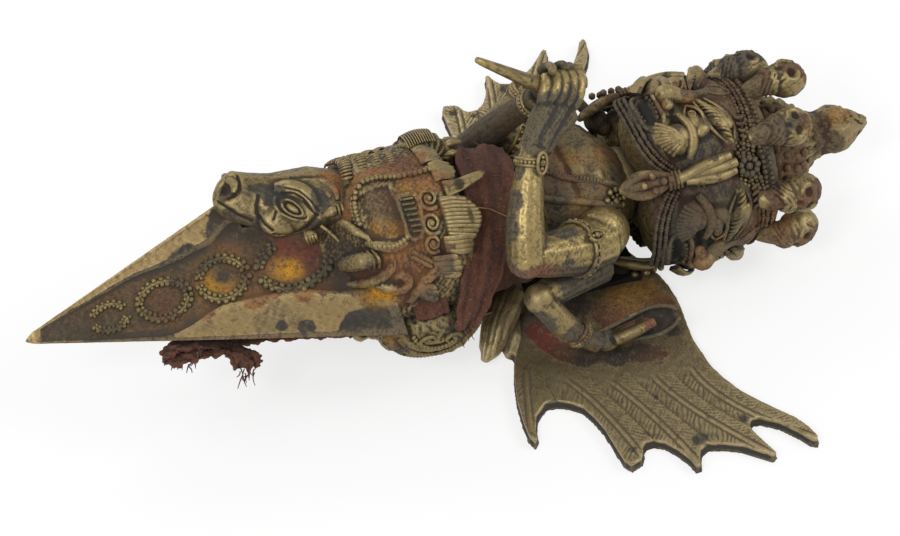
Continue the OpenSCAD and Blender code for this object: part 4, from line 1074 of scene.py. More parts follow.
def makeWing(name, node, side):
    outline = [(x, side * y) for x, y in wingEdge]
    count = len(outline)
    inset = []
    for i in range(count):  # the lower edge steps in a little, as on a cast plate
        a, b, c = (np.array(outline[(i + k) % count]) for k in (-1, 0, 1))
        way = c - a
        inward = np.array((-way[1], way[0])) * side / (np.linalg.norm(way) + 1e-6)
        inset.append(b + inward * 0.7)
    top = [(x, y, wingSizes["thick"]) for x, y in outline]
    middle = [(x, y, wingSizes["thick"] * 0.5) for x, y in outline]
    bottom = [(x, y, 0.0) for x, y in inset]
    faces = [tuple(range(count)), tuple(range(3 * count - 1, 2 * count - 1, -1))]
    for ring in range(2):
        here, below = ring * count, (ring + 1) * count
        faces += [(i + here, i + below, (i + 1) % count + below, (i + 1) % count + here)
                  for i in range(count)]
    plate = meshOf("plate", top + middle + bottom, faces)
    dome = lump((212, side * 27, 1.5), (31, 22, 5.5), rings=16)
    tuft = strands(rods(wingTuft, side), 4, 4)
    body = fused([plate, dome, tuft], wingSizes["grain"], 2)
    modified(body, "SMOOTH", factor=0.5, iterations=1)
    curves = []
    for shaft in wingShafts:
        knots = np.array(shaft, float)
        t = np.linspace(0, len(knots) - 1, 70)
        fit = np.polyfit(np.arange(len(knots)), knots, 2)  # a smooth curve through or by the given places
        curves.append(np.outer(t ** 2, fit[0]) + np.outer(t, fit[1]) + fit[2])

    def shape(p, n):
        flat = np.stack([p[:, 0], p[:, 1] * side], 1)
        best, along, off = np.full(len(p), 1e9), np.zeros(len(p)), np.zeros(len(p))
        for curve in curves:
            way = np.gradient(curve, axis=0)
            way /= np.linalg.norm(way, axis=1)[:, None]
            length = np.concatenate([[0], np.cumsum(np.linalg.norm(np.diff(curve, axis=0), axis=1))])
            for start in range(0, len(p), 20000):
                some = slice(start, start + 20000)
                part = flat[some]
                gap = part[:, None, :] - curve[None]
                far = (gap ** 2).sum(2)
                k = far.argmin(1)
                rows = np.arange(len(part))
                d = far[rows, k] ** 0.5
                better = d < best[some]
                g, w = gap[rows, k], way[k]
                signed = g[:, 0] * w[:, 1] - g[:, 1] * w[:, 0]
                best[some] = np.where(better, d, best[some])
                along[some] = np.where(better, length[k] + (g * w).sum(1), along[some])
                off[some] = np.where(better, signed, off[some])
        face = ease(0.6, 0.9, n[:, 2])
        outer = ease(0, 5, along) * ease(34, 46, flat[:, 1])
        spine = np.exp(-(off / 0.55) ** 2)
        trench = np.exp(-((np.abs(off) - 1.25) / 0.4) ** 2)
        far = np.abs(off)
        lean = np.where(off > 0, 1.15, 0.75)
        phase = (along - far * lean + 0.5 * np.sin(along * 0.7)) / wingSizes["barb"]
        barb = np.exp(-(((phase % 1) - 0.5) / 0.17) ** 2)
        fringe = ease(1.2, 1.8, far) * (1 - ease(5.0, 8.5, far))
        fringe *= 0.75 + 0.25 * np.sin(along * 0.37 + off)
        fade = 0.6 + 0.4 * ripple(np.stack([flat[:, 0], flat[:, 1], 0 * off], 1), 0.16)
        rough = 0.1 * ripple(p, 0.5) + 0.07 * ripple(p, 2.2, 3)
        wave = 0.16 * np.sin((flat[:, 0] + 0.8 * flat[:, 1]) * 2.1 + 0.8 * np.sin(flat[:, 1] * 0.5))
        tuftShare = (1 - ease(176, 184, p[:, 0])) * (1 - ease(38, 44, flat[:, 1])) * ease(5, 7, p[:, 2])
        barbs = 0.34 * barb * fringe * np.clip(fade, 0.25, 1)
        feather = outer * (0.28 * spine - 0.3 * trench - barbs + 0.03 * np.clip(off, -7, 7))
        return face * feather + rough * ease(0.2, 0.5, n[:, 2]) + wave * tuftShare

    relief(body, shape)
    points = vectors(body.data.vertices)
    points[:, 2] = np.maximum(points[:, 2], 0.0)
    setPoints(body.data, points)

    def sideFace(p):  # the dark cut edge below the top face
        return (1 - ease(2.4, 4.0, p[:, 2])) * ease(34, 40, np.abs(p[:, 1]))

    spots = [(sideFace, 0, "sootAndShade", 0.9)] + spotRows(wingSpots, lambda x, y, z: (x, side * y, z))
    settle(body, name, flatFrame, "wing", node, spots=spots)


makeWing("wingNear", "wing_left", -1)
makeWing("wingFar", "wing_right", 1)
print("wings ready")

# torso
torsoSections = {
    "x": (165, 186, 190, 199, 212, 223, 230.5, 236),
    "wide": (15, 15, 17.5, 20.5, 24, 23.5, 19, 13.5),
    "front": (15, 15, 17.5, 23.5, 27, 26, 20.5, 15),
    "behind": (15, 15, 16.5, 19.5, 22, 21, 16, 13),
}
scarfEdges = {"outer": (0.4, 1.5, ((199, 38), (205, 44), (213, 50), (222, 58), (230, 66))),
              "inner": (0.2, 1.0, ((203, 8), (206, 22), (213, 31), (222, 38), (231, 46)))}
laceLine = ((202, 6), (205, 19), (213.6, 29.5), (224, 39.6), (233, 48))


def torsoReach(x, angle):
    wide, front, behind = sections(torsoSections, x, "wide", "front", "behind")
    a = np.radians(angle)
    r = 1 / np.sqrt((np.sin(a) / wide) ** 2 + (np.cos(a) / np.where(np.cos(a) > 0, front, behind)) ** 2)
    turn = np.abs((np.asarray(angle) + 180) % 360 - 180)
    chest = 2.6 * np.exp(-((x - 220) / 6) ** 2 - ((turn - 32) / 22) ** 2)
    belly = 1.8 * np.exp(-((x - 201) / 6) ** 2 - (turn / 40) ** 2)
    crease = 1.5 * np.exp(-((x - 210.5 - 0.04 * turn) / 1.6) ** 2 - (turn / 60) ** 2)
    return r + chest + belly - crease


def onTorso(x, angle, lift=0.0):
    return polar(x, angle, float(torsoReach(x, angle)) + lift)


torsoSpots = {
    "earth": ((203, 12, 4, 0.9), (212, -20, 8, 0.8), (224, -30, 8, 0.9), (220, 24, 4, 0.8)),
    "rust": ((208, 4, 4, 0.8), (214, 36, 3.4, 1.2), (222, 46, 3.4, 1.2), (230, 5, 4, 0.9),
             (228, 66, 4, 0.8)),
    "ochre": ((214, 10, 5, 0.8), (226, 14, 5, 0.8), (212, 52, 5, 0.7)),
    "green": ((220, 2, 5, 0.8), (216, 43, 4, 1.0), (222, 62, 4, 0.9)),
    "red": ((208, 27, 3.6, 1.0),),
    "maroon": ((199, 30, 5, 1.0), (215, 64, 6, 1.0), (232, 52, 5, 1.1), (196, 4, 6, 0.8),
               (196, 20, 5, 1.0), (233, 20, 4, 0.9), (214, 90, 10, 0.7)),
    "sootAndShade": ((207, 38, 4, 1.8), (204, 48, 4, 1.6), (226, 53, 4, 0.9), (206, 20, 3, 0.7),
             (204, 70, 5, 1.4), (229, 30, 4, 0.8)),
}


def makeTorso():
    rows = [[onTorso(x, 360 * i / 120) for i in range(120)] for x in np.linspace(166, 237, 90)]
    body = loft(rows)
    relief(body, lambda p, n: 0.22 * ripple(p, 0.4, 2) + 0.12 * ripple(p, 1.2, 1))
    scarf = mirrored([[(onTorso(x, a, lift), r) for x, a in line] for lift, r, line in scarfEdges.values()])
    lace = []
    for side in (-1, 1):
        for (x0, a0), (x1, a1) in zip(laceLine, laceLine[1:]):
            for i in range(9):
                x, a = x0 + (x1 - x0) * i / 9, a0 + (a1 - a0) * i / 9
                lace += [(onTorso(x - row, side * a, lift), 0.72) for row, lift in ((0, 0.5), (1.5, 0.7))]
    folds = [[(onTorso(194 + 2.2 * k, a, 0.1), 0.7) for a in (-60, -35, -10, 15, 40, 62)] for k in range(2)]
    neck = lump((236, 0, 3), (9, 13, 13))
    body = joined([body, neck, strands(scarf + folds, 3, 3)])
    spots = spotRows(torsoSpots, lambda x, angle: onTorso(x, angle, 1))
    settle(body, "torsoCasting", axisFrame, "cast", "torso", spots=spots)
    spots += [(onTorso(212, 28, 1), 9, "green", 0.8), (onTorso(226, 41, 1), 7, "green", 0.7)]
    settle(beads(lace, 5), "chestPearls", axisFrame, "cast", "necklace", spots)


makeTorso()


# arms, hands and what they hold
grip, gripWay, gripUp = Vector((209.2, 0, 57)), Vector((0.77, 0, -0.64)), Vector((0.64, 0, 0.77))


def byGrip(along, up, y):  # a place beside the small dagger
    return tuple(grip + gripWay * along + gripUp * up + Vector((0, y, 0)))


def wristRing(at, way, r, rose):  # a beaded bracelet with a medallion towards rose
    way, rose = Vector(way).normalized(), Vector(rose)
    rose = (rose - way * rose.dot(way)).normalized()
    other = way.cross(rose)
    centre = Vector(at)

    def onRing(t, out=0.0, off=0.0):
        return centre + way * off + (rose * math.cos(t) + other * math.sin(t)) * (r + out)

    rings = [[(onRing(t, off=off), 0.8) for t in around(16, True)] for off in (-1.1, 1.1)]
    pearls = [(onRing(t, 0.5), 0.85) for t in around(24)]
    middle = centre + rose * (r + 1.0)
    rings.append([(middle + (way * math.cos(t) * 1.9 + other * math.sin(t)) * 2.1, 0.75)
                  for t in around(12, True)])
    pearls += [(middle + rose * 0.2, 1.35), (middle + way * 2.1, 0.9), (middle - way * 2.1, 0.9)]
    return [[(tuple(p), q) for p, q in ring] for ring in rings], [(tuple(p), q) for p, q in pearls]


nearArmRods = {
    "upperArm": ((217, -29, 4, 10.5), (207, -33.5, 7, 10.2), (195, -38, 12, 8.8),
                 (185, -40.5, 16.4, 7.8)),
    "forearm": ((182.8, -41, 17, 7.7), (184, -36.5, 24.5, 7.5), (187.9, -28, 35.5, 6.4),
                (192.4, -20.5, 44.5, 4.9), (195, -17.4, 47.8, 4.9)),
    "palmTop": ((193.2, -18.6, 46.8, 4.2), (196.8, -13.6, 51.2, 4.4), (200.6, -9.6, 55, 4.4),
                (204.4, -6.4, 57, 3.8)),
    "palmMiddle": ((195.6, -17.8, 46.8, 4.4), (200.2, -13, 50.6, 5.0), (205, -9, 53, 4.9),
                   (209.2, -6, 54.4, 4.2)),
    "palmLow": ((197.4, -17, 46, 4.2), (203, -12.6, 48.8, 4.4), (208.6, -9.2, 50, 4.4),
                (213.4, -6.6, 50.8, 3.8)),
}
farArmRods = {
    "upperArm": ((217, 29, 4, 10), (206, 34, 4, 8.6), (195, 37, 3, 7), (187, 38, 2.5, 6.2)),
    "forearm": ((187, 38.5, 2, 6.2), (191, 31, 14, 6.2), (197, 22.5, 27.5, 5.6), (203, 13.5, 41, 4.8),
                (206.5, 9, 48, 4.8)),
}
nearFingers = {"along": (-4.2, -0.9, 2.3, 5.4), "top": (5.6, 6.9, 8.2, 9.3), "tip": (-5.2, -1.4, 2.4, 6.2)}
sideArms = {  # the node, the side and the joints from the shoulder to the hand
    "armSideNear": ("arm_side_left", -1, ((217, 27, -11), (200, 36, -7), (187, 43, -4), (193, 48, -13),
                                          (200.4, 51.5, -20.8), (207, 53.6, -24.6))),
    "armSideFar": ("arm_side_right", 1, ((217, 27, -11), (208, 40, -9), (199, 51, -5), (208, 53, 2),
                                         (217, 53, 10), (223, 49, 15))),
}
wristRings = (  # middle, way of the arm, radius, where the medallion looks
    ((192.4, -20.5, 44.5), (3, 6, 7.5), 5.4, (0.5, -1, 0.6)),
    ((204.5, 11.5, 43.5), (4, -6, 8), 5.2, (0, 1, 0.5)),
    ((200.2, -51.3, -20.4), (7, -3, -8), 4.5, (-0.5, 1, -0.9)),
    ((215.5, 53, 8.6), (8, 1, 8), 5.0, (0, 1, 0.2)),
)
armletRings = tuple(((205.5, side * 34.2, 7.6), (-20, side * 9, 10), 10.4, (0.2, side * 0.55, 1))
                    for side in (-1, 1))
nearArmSpots = {
    "red": ((184, -46, 14, 5, 1.4),),
    "maroon": ((181, -43, 10, 6, 1.8), (190, -43, 9, 5, 1.6)),
    "sootAndShade": ((178, -40, 17, 4.5, 1.4), (196, -41, 12, 5, 2.0), (197, -34, 19, 4.4, 1.6),
             (202, -41, 4, 5.4, 1.7), (197, -13, 53, 6, 1.8), (202, -9, 56, 5, 1.5),
             (205, -9, 53, 8, 2.6), (211, -8, 51, 6, 2.2), (201, -14, 49, 6, 2.2),
             (211, -40, -2, 7, 1.4), (219, -39, -3, 5, 1.4), (224, -36, -2, 4, 0.8),
             (179, -36, 28, 4.4, 1.5), (182, -30, 37, 4, 1.4), (193, -30, 30, 3.4, 1.0)),
    "plum": ((194, -20, 49, 3, 1.2), (186, -23, 45, 3.4, 1.2), (211, -37, 7, 2.4, 1.0),
             (214, -3, 60, 4, 0.5)),
    "green": ((203, -35, 15, 4, 1.0),),
    "rust": ((190, -46, 12, 3, 1.2),),
}
farArmSpots = {
    "sootAndShade": ((193, 24, 22, 7, 1.6), (188, 32, 12, 7, 1.6), (203, 12, 44, 5, 1.4), (212, 6, 58, 8, 1.6),
             (205, 8, 60, 7, 1.5), (200, 18, 36, 8, 1.2)),
    "maroon": ((199, 16, 34, 7, 1.4), (191, 32, 12, 12, 0.9)),
}
sideHandSpots = {  # x, distance outwards and z from the hand, reach, amount
    "sootAndShade": ((1, 2, 3, 4, 1.6),), "red": ((19, 4, 5, 3.4, 1.4),), "orange": ((10, 5, 0, 3, 1.0),),
    "rust": ((12, 0, 4, 2.6, 1.2),),
}


def makeRings(name, rings, spots):
    lines, pearls = [], []
    for at, way, r, rose in rings:
        hoops, balls = wristRing(at, way, r, rose)
        lines += hoops
        pearls += balls
    body = joined([strands(lines, 2, 2), beads(pearls, 5)])
    settle(body, name, axisFrame, "cast", name, spots)


def makeArms():
    near = [strands(rods(nearArmRods), 6, 5), lump((218, -27, 5), (11, 10, 11)),
            lump((183, -41, 17), 7.8), lump(byGrip(2.4, 4.4, -1.6), (7, 4.4, 4.4), (0, 40, 0))]
    fingers = []
    for along, top, tip in zip(*nearFingers.values()):
        fingers.append([(byGrip(along + 1, top - 3.4, 5), 1.9),
                        (byGrip(along + 0.3, top - 0.8, 3.2), 2.2), (byGrip(along, top, 0), 2.25),
                        (byGrip((along * 2 + tip) / 3, top * 0.74, -4.2), 2.2),
                        (byGrip(tip, top * 0.28, -6.6), 2.05), (byGrip(tip - 0.4, -1.8, -7), 1.7)])
    near += [strands(fingers, 5, 4), lump(byGrip(6.5, 6, 1.5), (5, 4, 5)),
             strands([[(byGrip(-4, -6, -7.4), 2.9), (byGrip(-7, -1.6, -6), 2.5),
                       (byGrip(-8.4, 3.2, -3), 2.1), (byGrip(-8.2, 4.9, 0.6), 1.5)]], 4, 4)]
    nearArm = fused(near, 0.5, 1)
    relief(nearArm, lambda p, n: 0.1 * ripple(p, 0.6) + 0.06 * ripple(p, 1.8, 2))
    settle(nearArm, "armFrontNear", axisFrame, "shine", "arm_front_left", spots=spotRows(nearArmSpots))

    far = [strands(rods(farArmRods), 5, 5),
           lump((218, 27, 5), (10.5, 10, 10.5)), lump((209.5, 7.5, 53.5), (6.5, 4.6, 6))]
    grasp = [[(byGrip(a + 0.5, 2.5, 6.4), 1.9), (byGrip(a, 6.2, 4.4), 1.9),
              (byGrip(a - 0.8, 8.2, 1.2), 1.8), (byGrip(a - 1.6, 7.6, -2.2), 1.5)] for a in (-6.5, 9.6)]
    grasp += [[(byGrip(-1 + 3.4 * i, 3, 7), 2.2), (byGrip(-1 + 3.4 * i, 8 + 0.6 * i, 5.4), 2.1),
               (byGrip(-1.4 + 3.4 * i, 10 + 0.5 * i, 2.6), 1.9)] for i in range(3)]
    farArm = fused(far + [strands(grasp, 4, 4)], 0.6, 1)
    relief(farArm, lambda p, n: 0.12 * ripple(p, 0.6))
    settle(farArm, "armFrontFar", axisFrame, "dark", "arm_front_right", spotRows(farArmSpots))

    for name, (node, side, joints) in sideArms.items():
        points = [(x, side * y, z) for x, y, z in joints]
        upper = list(zip(points[:3], (8.0, 6.6, 5.6)))
        lower = list(zip(points[2:], (5.6, 5.2, 4.1, 4.3)))
        hand = Vector(points[5])
        parts = [strands([upper, lower], 5, 5), lump(points[2], 6.0),
                 lump(tuple(hand + Vector((3, 0, 0))), (5.5, 4.6, 4))]
        reach = []
        for i in range(4):
            root = hand + Vector((5, side * (3.6 - 2.0 * i), 2.6 - 0.9 * i))
            bend = Vector((7.4, -0.4, 2.0)) if side < 0 else Vector((4, -5, 3))
            tip = root + bend * (2.2 - 0.16 * i) + Vector((0, -side * 1.2, -0.4))
            reach.append([(tuple(root), 2.3), (tuple(root + bend), 2.4), (tuple(tip), 1.7)])
        arm = fused(parts + [strands(reach, 4, 4)], 0.55, 1)
        relief(arm, lambda p, n: 0.12 * ripple(p, 0.6))
        elbow = (Vector(points[2]) + Vector(points[3])) / 2 + Vector((-4, side * 4, -3))
        wrist = (Vector(points[3]) + Vector(points[4])) / 2 + Vector((0, side * 3, 0))
        # the two widest dark spots on shoulder and upper arm are painted shade where the arm lies in shadow
        spots = [(points[0], 12, "sootAndShade", 2.2), (points[1], 8, "sootAndShade", 2.0), (points[2], 4.5, "plum", 1.4),
                 (tuple(elbow), 4.4, "sootAndShade", 1.8), (points[4], 5, "plum", 1.6),
                 (tuple(wrist), 4, "sootAndShade", 1.2)]
        spots += spotRows(sideHandSpots, lambda x, y, z: tuple(hand + Vector((x, side * y, z))))
        settle(arm, name, axisFrame, "cast" if side < 0 else "dark", node, spots)

    makeRings("bracelets", wristRings,
              [((195, -22, 46), 5, "sootAndShade", 0.5), ((200, -54, -18), 4, "maroon", 0.9)])
    makeRings("armlets", armletRings, [((205, side * 44, 8), 7, "sootAndShade", 0.8) for side in (-1, 1)])


makeArms()


daggerProfile = ((-39.6, 0.4, 0.3), (-39, 1.4, 1.1), (-37, 1.9, 1.4), (-28, 2.4, 1.8), (-16, 3.1, 2.5),
                 (-6, 3.7, 3.2), (2, 3.5, 3.3), (6, 3.0, 3.0), (9, 2.4, 2.4), (9.8, 0.4, 0.4))
leafSizes = {"start": (205, -53.4, -23.4), "stop": (239, -54.6, -19.6), "radius": 4.9,
             "wall": 1.5, "halfOpen": 104}
rodPlace = {"knob": (229, 38, 19), "way": (9, -16, -9)}


def makeHeldThings():
    rows = [[byGrip(along, deep * math.cos(t), wide * math.sin(t)) for t in around(28)]
            for along, wide, deep in daggerProfile]
    rod = loft(rows)
    modified(rod, "SUBSURF", levels=2, render_levels=2)
    relief(rod, lambda p, n: 0.1 * ripple(p, 1.1))
    settle(rod, "smallDagger", axisFrame, "shine", "held_dagger",
           [((190, 0, 73), 5, "sootAndShade", 0.35), ((200, 0, 65), 4, "sootAndShade", 0.6)])

    start, stop = Vector(leafSizes["start"]), Vector(leafSizes["stop"])
    way, down = (stop - start).normalized(), Vector((0, 0.62, -0.78))
    under = (down - way * way.dot(down)).normalized()
    beside = way.cross(under).normalized()
    rows = []
    for j in range(30):
        t = j / 29
        full = 0.42 + 0.9 * t if t < 0.7 else math.sqrt(max(0.05, 1 - ((t - 0.7) / 0.31) ** 2))
        r = leafSizes["radius"] * min(1, full)
        middle = start + (stop - start) * t
        row = []
        for i in range(31):
            a = math.radians(leafSizes["halfOpen"] * (i / 15 - 1))
            out = beside * math.sin(a) * 1.05 + under * math.cos(a) * 0.75
            row.append(tuple(middle + out * r * (1 + 0.05 * math.sin(7 * t + 2 * a))))
        rows.append(row)
    shell = loft(rows, closed=False)
    modified(shell, "SOLIDIFY", thickness=leafSizes["wall"], offset=0)
    modified(shell, "SUBSURF", levels=1, render_levels=1)
    relief(shell, lambda p, n: 0.15 * ripple(p, 0.8))
    settle(shell, "curledLeaf", axisFrame, "cast", "attribute_left",
           [((218, -54, -24), 6, "sootAndShade", 1.4), ((228, -53, -22), 6, "sootAndShade", 1.6),
            ((235, -53, -21), 5, "plum", 1.4), ((212, -54, -25), 5, "maroon", 1.0)])

    away = Vector(rodPlace["way"]).normalized()

    def onRod(along):
        return tuple(Vector(rodPlace["knob"]) + away * along)

    parts = [strands([[(onRod(-2), 2.6), (onRod(9), 2.3), (onRod(17), 2.8)]], 5, 4), lump(onRod(0), 4.8),
             lump(onRod(16), 4.9), lump(onRod(20), 3.2)]
    settle(fused(parts, 0.6, 1), "farRod", axisFrame, "dark", "attribute_right",
           spots=[(onRod(0), 6, "rust", 1.4), (onRod(10), 5, "sootAndShade", 1.6), (onRod(17), 5, "sootAndShade", 1.2)])


makeHeldThings()


# the three faces
faceRods = {  # the nose and the root of the brow
    "nose": ((266, 0, 37.4, 2.8), (260, 0, 40.2, 2.9), (255.5, 0, 43, 3.2), (252.6, 0, 44.4, 3.2),
             (251, 0, 42, 2.2)),
    "forehead": ((276, 0, 34, 4), (271, 0, 37, 3.4), (266, 0, 38, 2.6)),
}


def makeFace():
    parts = [lump((263, 0, 15), (24, 25.5, 22)), lump((248, 0, 22), (11.5, 17.5, 16.5)),
             lump((242.5, 0, 33), (4.6, 7, 5.6)), lump((271, 0, 20), (14, 21, 18))]
    for side in (-1, 1):
        parts += [lump((254, 12.5 * side, 30.5), (6.4, 6.2, 6.8)),
                  lump((252.6, 3.9 * side, 41.6), (2.3, 2.3, 2.4), rings=8),
                  lump((262, 10 * side, 34), (6, 6.5, 4)),
                  lump((270, 9.5 * side, 35.4), (4, 9, 3.2), (0, 0, -24 * side))]
    parts.append(strands(rods(faceRods), 5, 4))
    face = fused(parts, 0.6, 3)

    def shape(p, n):
        x, y, z = p.T
        y = np.abs(y)
        front = ease(0.2, 0.5, n[:, 2])
        mouth = np.exp(-(((x - 245.4 - 0.02 * y ** 2) / 2.6) ** 4 + (y / 7.6) ** 4)) * front
        socket = np.exp(-(((x - 261) / 3.6) ** 2 + ((y - 9.6) / 5.6) ** 2)) * front
        fold = np.exp(-((np.hypot(x - 254, (y - 11.5) * 0.95) - 6.8) / 0.8) ** 2) * front * ease(3, 6, y)
        frown = np.exp(-((x - 267.5) / 4) ** 2 - ((y - 2.2) / 0.8) ** 2) * front
        rough = 0.1 * ripple(p, 0.7) + 0.07 * ripple(p, 2.1, 4)
        return -3.2 * mouth - 1.7 * socket - 0.6 * fold - 0.6 * frown + rough

    relief(face, shape)
    # lids and lips
    fine = [dragged([(260.5, 3.6, 38.2), (264, 7.5, 38.6), (264.6, 11.5, 36.6), (261.5, 15.6, 32.6)],
                    0.85),
            dragged([(260.2, 3.6, 38.2), (257.8, 8, 38), (258.2, 12.5, 35.6), (261, 15.6, 32.4)], 0.8),
            [((249.4, 0, 41.2), 0.9), ((249.6, 3.6, 40.6), 1.0), ((250, 7, 38.4), 0.95),
             ((248.4, 9.4, 35.8), 0.8), ((245.4, 9.6, 34.8), 0.6)],
            [((241, 0, 38.6), 0.9), ((241.4, 4, 37.6), 0.95), ((243, 7.8, 35.6), 0.85),
             ((245.6, 9.6, 34.8), 0.6)]]
    for k in range(10):  # moustache fans, narrow at the cheek
        t = k / 9
        root = Vector((254, 16.2 + 1.9 * t, 36.2 - 1.4 * t))
        end = Vector((246 + 3.2 * t - 2.6 * math.sin(math.pi * t), 8.6 + 10.6 * t, 37.4 - 7.4 * t))
        middle = root * 0.5 + end * 0.5 + Vector((0, 0.8, 2.0))
        fine.append([(tuple(root), 0.5), (tuple(middle), 0.9), (tuple(end + Vector((0, 0, 0.4))), 0.95)])
    fine.append([((255.4, 7, 38.6), 1.0), ((258.4, 12, 36.2), 2.1), ((258, 17, 32.6), 2.3),
                 ((255.4, 21, 27.8), 1.4)])
    for k in range(3):
        fine.append(dragged([(259 - 2 * k, 22.4 + 0.6 * k, 26.5 - 0.8 * k),
                             (257 - 2 * k, 24.2 + 0.4 * k, 23.6 - 0.5 * k)], 0.75, 0.5))
    for k in range(11):  # leaf-shaped brow with slanting grooves
        t = k / 10
        swell = math.sin(math.pi * (0.12 + 0.8 * t))
        x, y, z = 265.5 + 6.5 * t, 3.6 + 15.4 * t, 39.2 - 7.4 * t * t
        fine.append([((x - 2.6 * swell, y - 1.2, z - 0.5), 0.35),
                     ((x - 0.6, y + 0.2, z + 1.1 * swell), 0.72),
                     ((x + 1.6 * swell, y + 1.5, z + 0.7 * swell), 0.72),
                     ((x + 3.4 * swell, y + 2.2, z - 0.8), 0.35)])
    fine.append(dragged([(263.4, 3.4, 39.2), (264.6, 9, 38), (266.6, 14.5, 34.4), (271.5, 19, 29.4)],
                        0.75, 0.5))
    fine.append(dragged([(267.6, 3.0, 39.4), (272.4, 9, 37.6), (275.4, 14.5, 33.6), (274.4, 18.6, 30)],
                        0.75, 0.5))
    for k in range(4):
        fine.append(dragged([(276.8 + 0.3 * k, 11.5 + 1.7 * k, 34 - 1.7 * k),
                             (279.4, 12 + 1.8 * k, 33.2 - 1.7 * k),
                             (281, 10.4 + 2.0 * k, 32.6 - 1.6 * k)], 0.8, 0.4))
    fine = mirrored(fine)
    for side in (-1, 1):
        fine.append(dragged([(268.5, 0, 40), (272, 2 * side, 39.6), (276.5, 2.1 * side, 37.6),
                             (280, 0, 35.4)], 0.7))
    balls = [((249.0 - 0.03 * y * y, y, 38.6 - 0.02 * y * y), 0.95)
             for y in (-5.4, -3.3, -1.1, 1.1, 3.3, 5.4)]
    balls += [((242.6 + 0.03 * y * y, y, 36.6 - 0.02 * y * y), 0.9) for y in (-4.4, -2.2, 0, 2.2, 4.4)]
    for row in range(3):  # beaded beard from ear to ear
        for i in range(67):
            a = -92 + 2.8 * i
            t = abs(a) / 92
            x = 240.2 + 23 * t ** 3 - 1.6 * row
            y = (21.5 + 0.9 * row) * math.sin(math.radians(a)) * (1 - 0.06 * t)
            z = 12 + (25 - 1.4 * row) * math.cos(math.radians(a)) ** 0.8 if abs(a) < 90 else 12
            balls.append(((x, y, z), 0.86 + 0.16 * math.sin(i * 1.7 + row)))
    for row in range(3):  # small curls along the hairline
        for i in range(47):
            a = -69 + 3 * i + 1.5 * (row % 2)
            x = 280.5 + 1.8 * row - 6 * (abs(a) / 64) ** 2
            y, z = (30.2 + 0.2 * row) * math.sin(math.radians(a)), 2 + 31.2 * math.cos(math.radians(a))
            balls.append(((x, y, z), 0.9 + 0.2 * math.sin(i * 2.1 + row)))
    eyes = [lump((260.8, 9.2 * side, 35.9), (2.9, 4.6, 2.7), rings=8) for side in (-1, 1)]
    eyes.append(lump((274.4, 0, 37.2), (3.4, 1.5, 1.6), rings=7))
    pupils = [[((260.8 + 1.3 * math.cos(t), 8.6 * side + 1.5 * math.sin(t), 38.4), 0.45)
               for t in around(8, True)] for side in (-1, 1)]
    return joined([face, strands(fine, 2, 3), strands(pupils, 2, 2), beads(balls, 5)] + eyes)


faceMarks = {
    "orange": ((252, 4.6, 41, 2.2, 2.6), (262, 4.4, 39, 2.4, 2.4)),
    "maroon": ((241, 14, 26, 5, 1.4), (246, 20, 22, 5, 1.3), (278, 14, 32, 5, 1.0),
               (270, 24, 22, 6, 1.1), (281, 4, 33, 5, 1.0), (250, 25, 14, 6, 1.0), (249, 6, 40, 3, 0.8)),
    "sootAndShade": ((240, 10, 33, 4, 0.8), (262, 17, 29, 3.2, 1.5), (266, 20, 26, 3.6, 1.4),
             (245, 3, 36, 4.5, 1.6), (257, 20, 27, 4, 0.9), (238, 4, 36, 4, 1.6), (238, 13, 32, 4, 1.5),
             (240, 20, 27, 4, 1.4), (255, 26, 22, 4, 1.2), (253, 14, 36, 2.4, 0.8)),
    "earth": ((262, 25, 18, 6, 1.2), (276, 6, 35, 5, 1.1), (281, 16, 28, 6, 1.1), (281, 26, 18, 6, 1.1),
              (244, 25, 18, 4, 1.4), (264, 3, 42, 2.6, 1.0), (262, 3, 43, 3, 1.2), (266, 14, 36, 4, 0.7)),
    "rust": ((272, 4, 38, 3, 0.8),),
    "plum": ((269, 1.5, 40, 3.6, 1.5),),
}


def faceSpots(angle):  # the marks on a face that looks this way
    turn = turned("X", angle)
    return [(tuple(turn @ Vector(at)), *rest) for at, *rest in bothSides(faceMarks)]


headTurns = {"centre": 3, "near": 100, "far": -100}


def makeHeads():
    centre = makeFace()
    near = movedCopy(centre, turned("X", headTurns["near"]))
    far = movedCopy(centre, turned("X", headTurns["far"]))
    centre.data.transform(turned("X", headTurns["centre"]))
    settle(centre, "faceCentre", axisFrame, "cast", "head_centre", spots=faceSpots(0))
    spots = [(polar(248, 79, 38), 7, "sootAndShade", 2.2), (polar(256, 75, 37), 6, "maroon", 1.8),
             (polar(246, 92, 38), 6, "sootAndShade", 1.6), ((262, -40, -3), 7, "green", 0.9),
             ((252, -44, -11), 5, "orange", 1.5), ((256, -33, 9), 6, "maroon", 1.2),
             ((268, -34, 6), 6, "green", 0.9), ((280, -34, -4), 5, "orange", 1.0)]
    settle(near, "faceNear", axisFrame, "dark", "head_left",
           faceSpots(headTurns["near"]) + spots)
    settle(far, "faceFar", axisFrame, "dark", "head_right", faceSpots(headTurns["far"]))
    hair = [lump((262, 0, -8), (25, 24, 22), rings=20)]
    waves = [[(polar(240 + 5.2 * i, 150 + 8 * k + 3 * math.sin(i * 0.9), 27 - 0.12 * (i - 4) ** 2), 1.5)
              for i in range(9)] for k in range(9)]
    settle(joined(hair + [strands(waves, 3, 3)]), "hairBehind", axisFrame, "dark", "hair_back")


makeHeads()


# ears and their hanging ornaments between the faces
earAngles = (49, -49, 147, -147)  # between the faces
earSpots = {"rust": ((240, 0, 32, 4, 1.6),), "sootAndShade": ((278, 5, 33, 5, 1.8),),
            "maroon": ((244, 0, 34, 5, 1.6),),
            "plum": ((264, -7, 35, 3.4, 0.9), (264, 8, 35, 3.4, 0.9)), "earth": ((233, 0, 31, 5, 1.2),)}


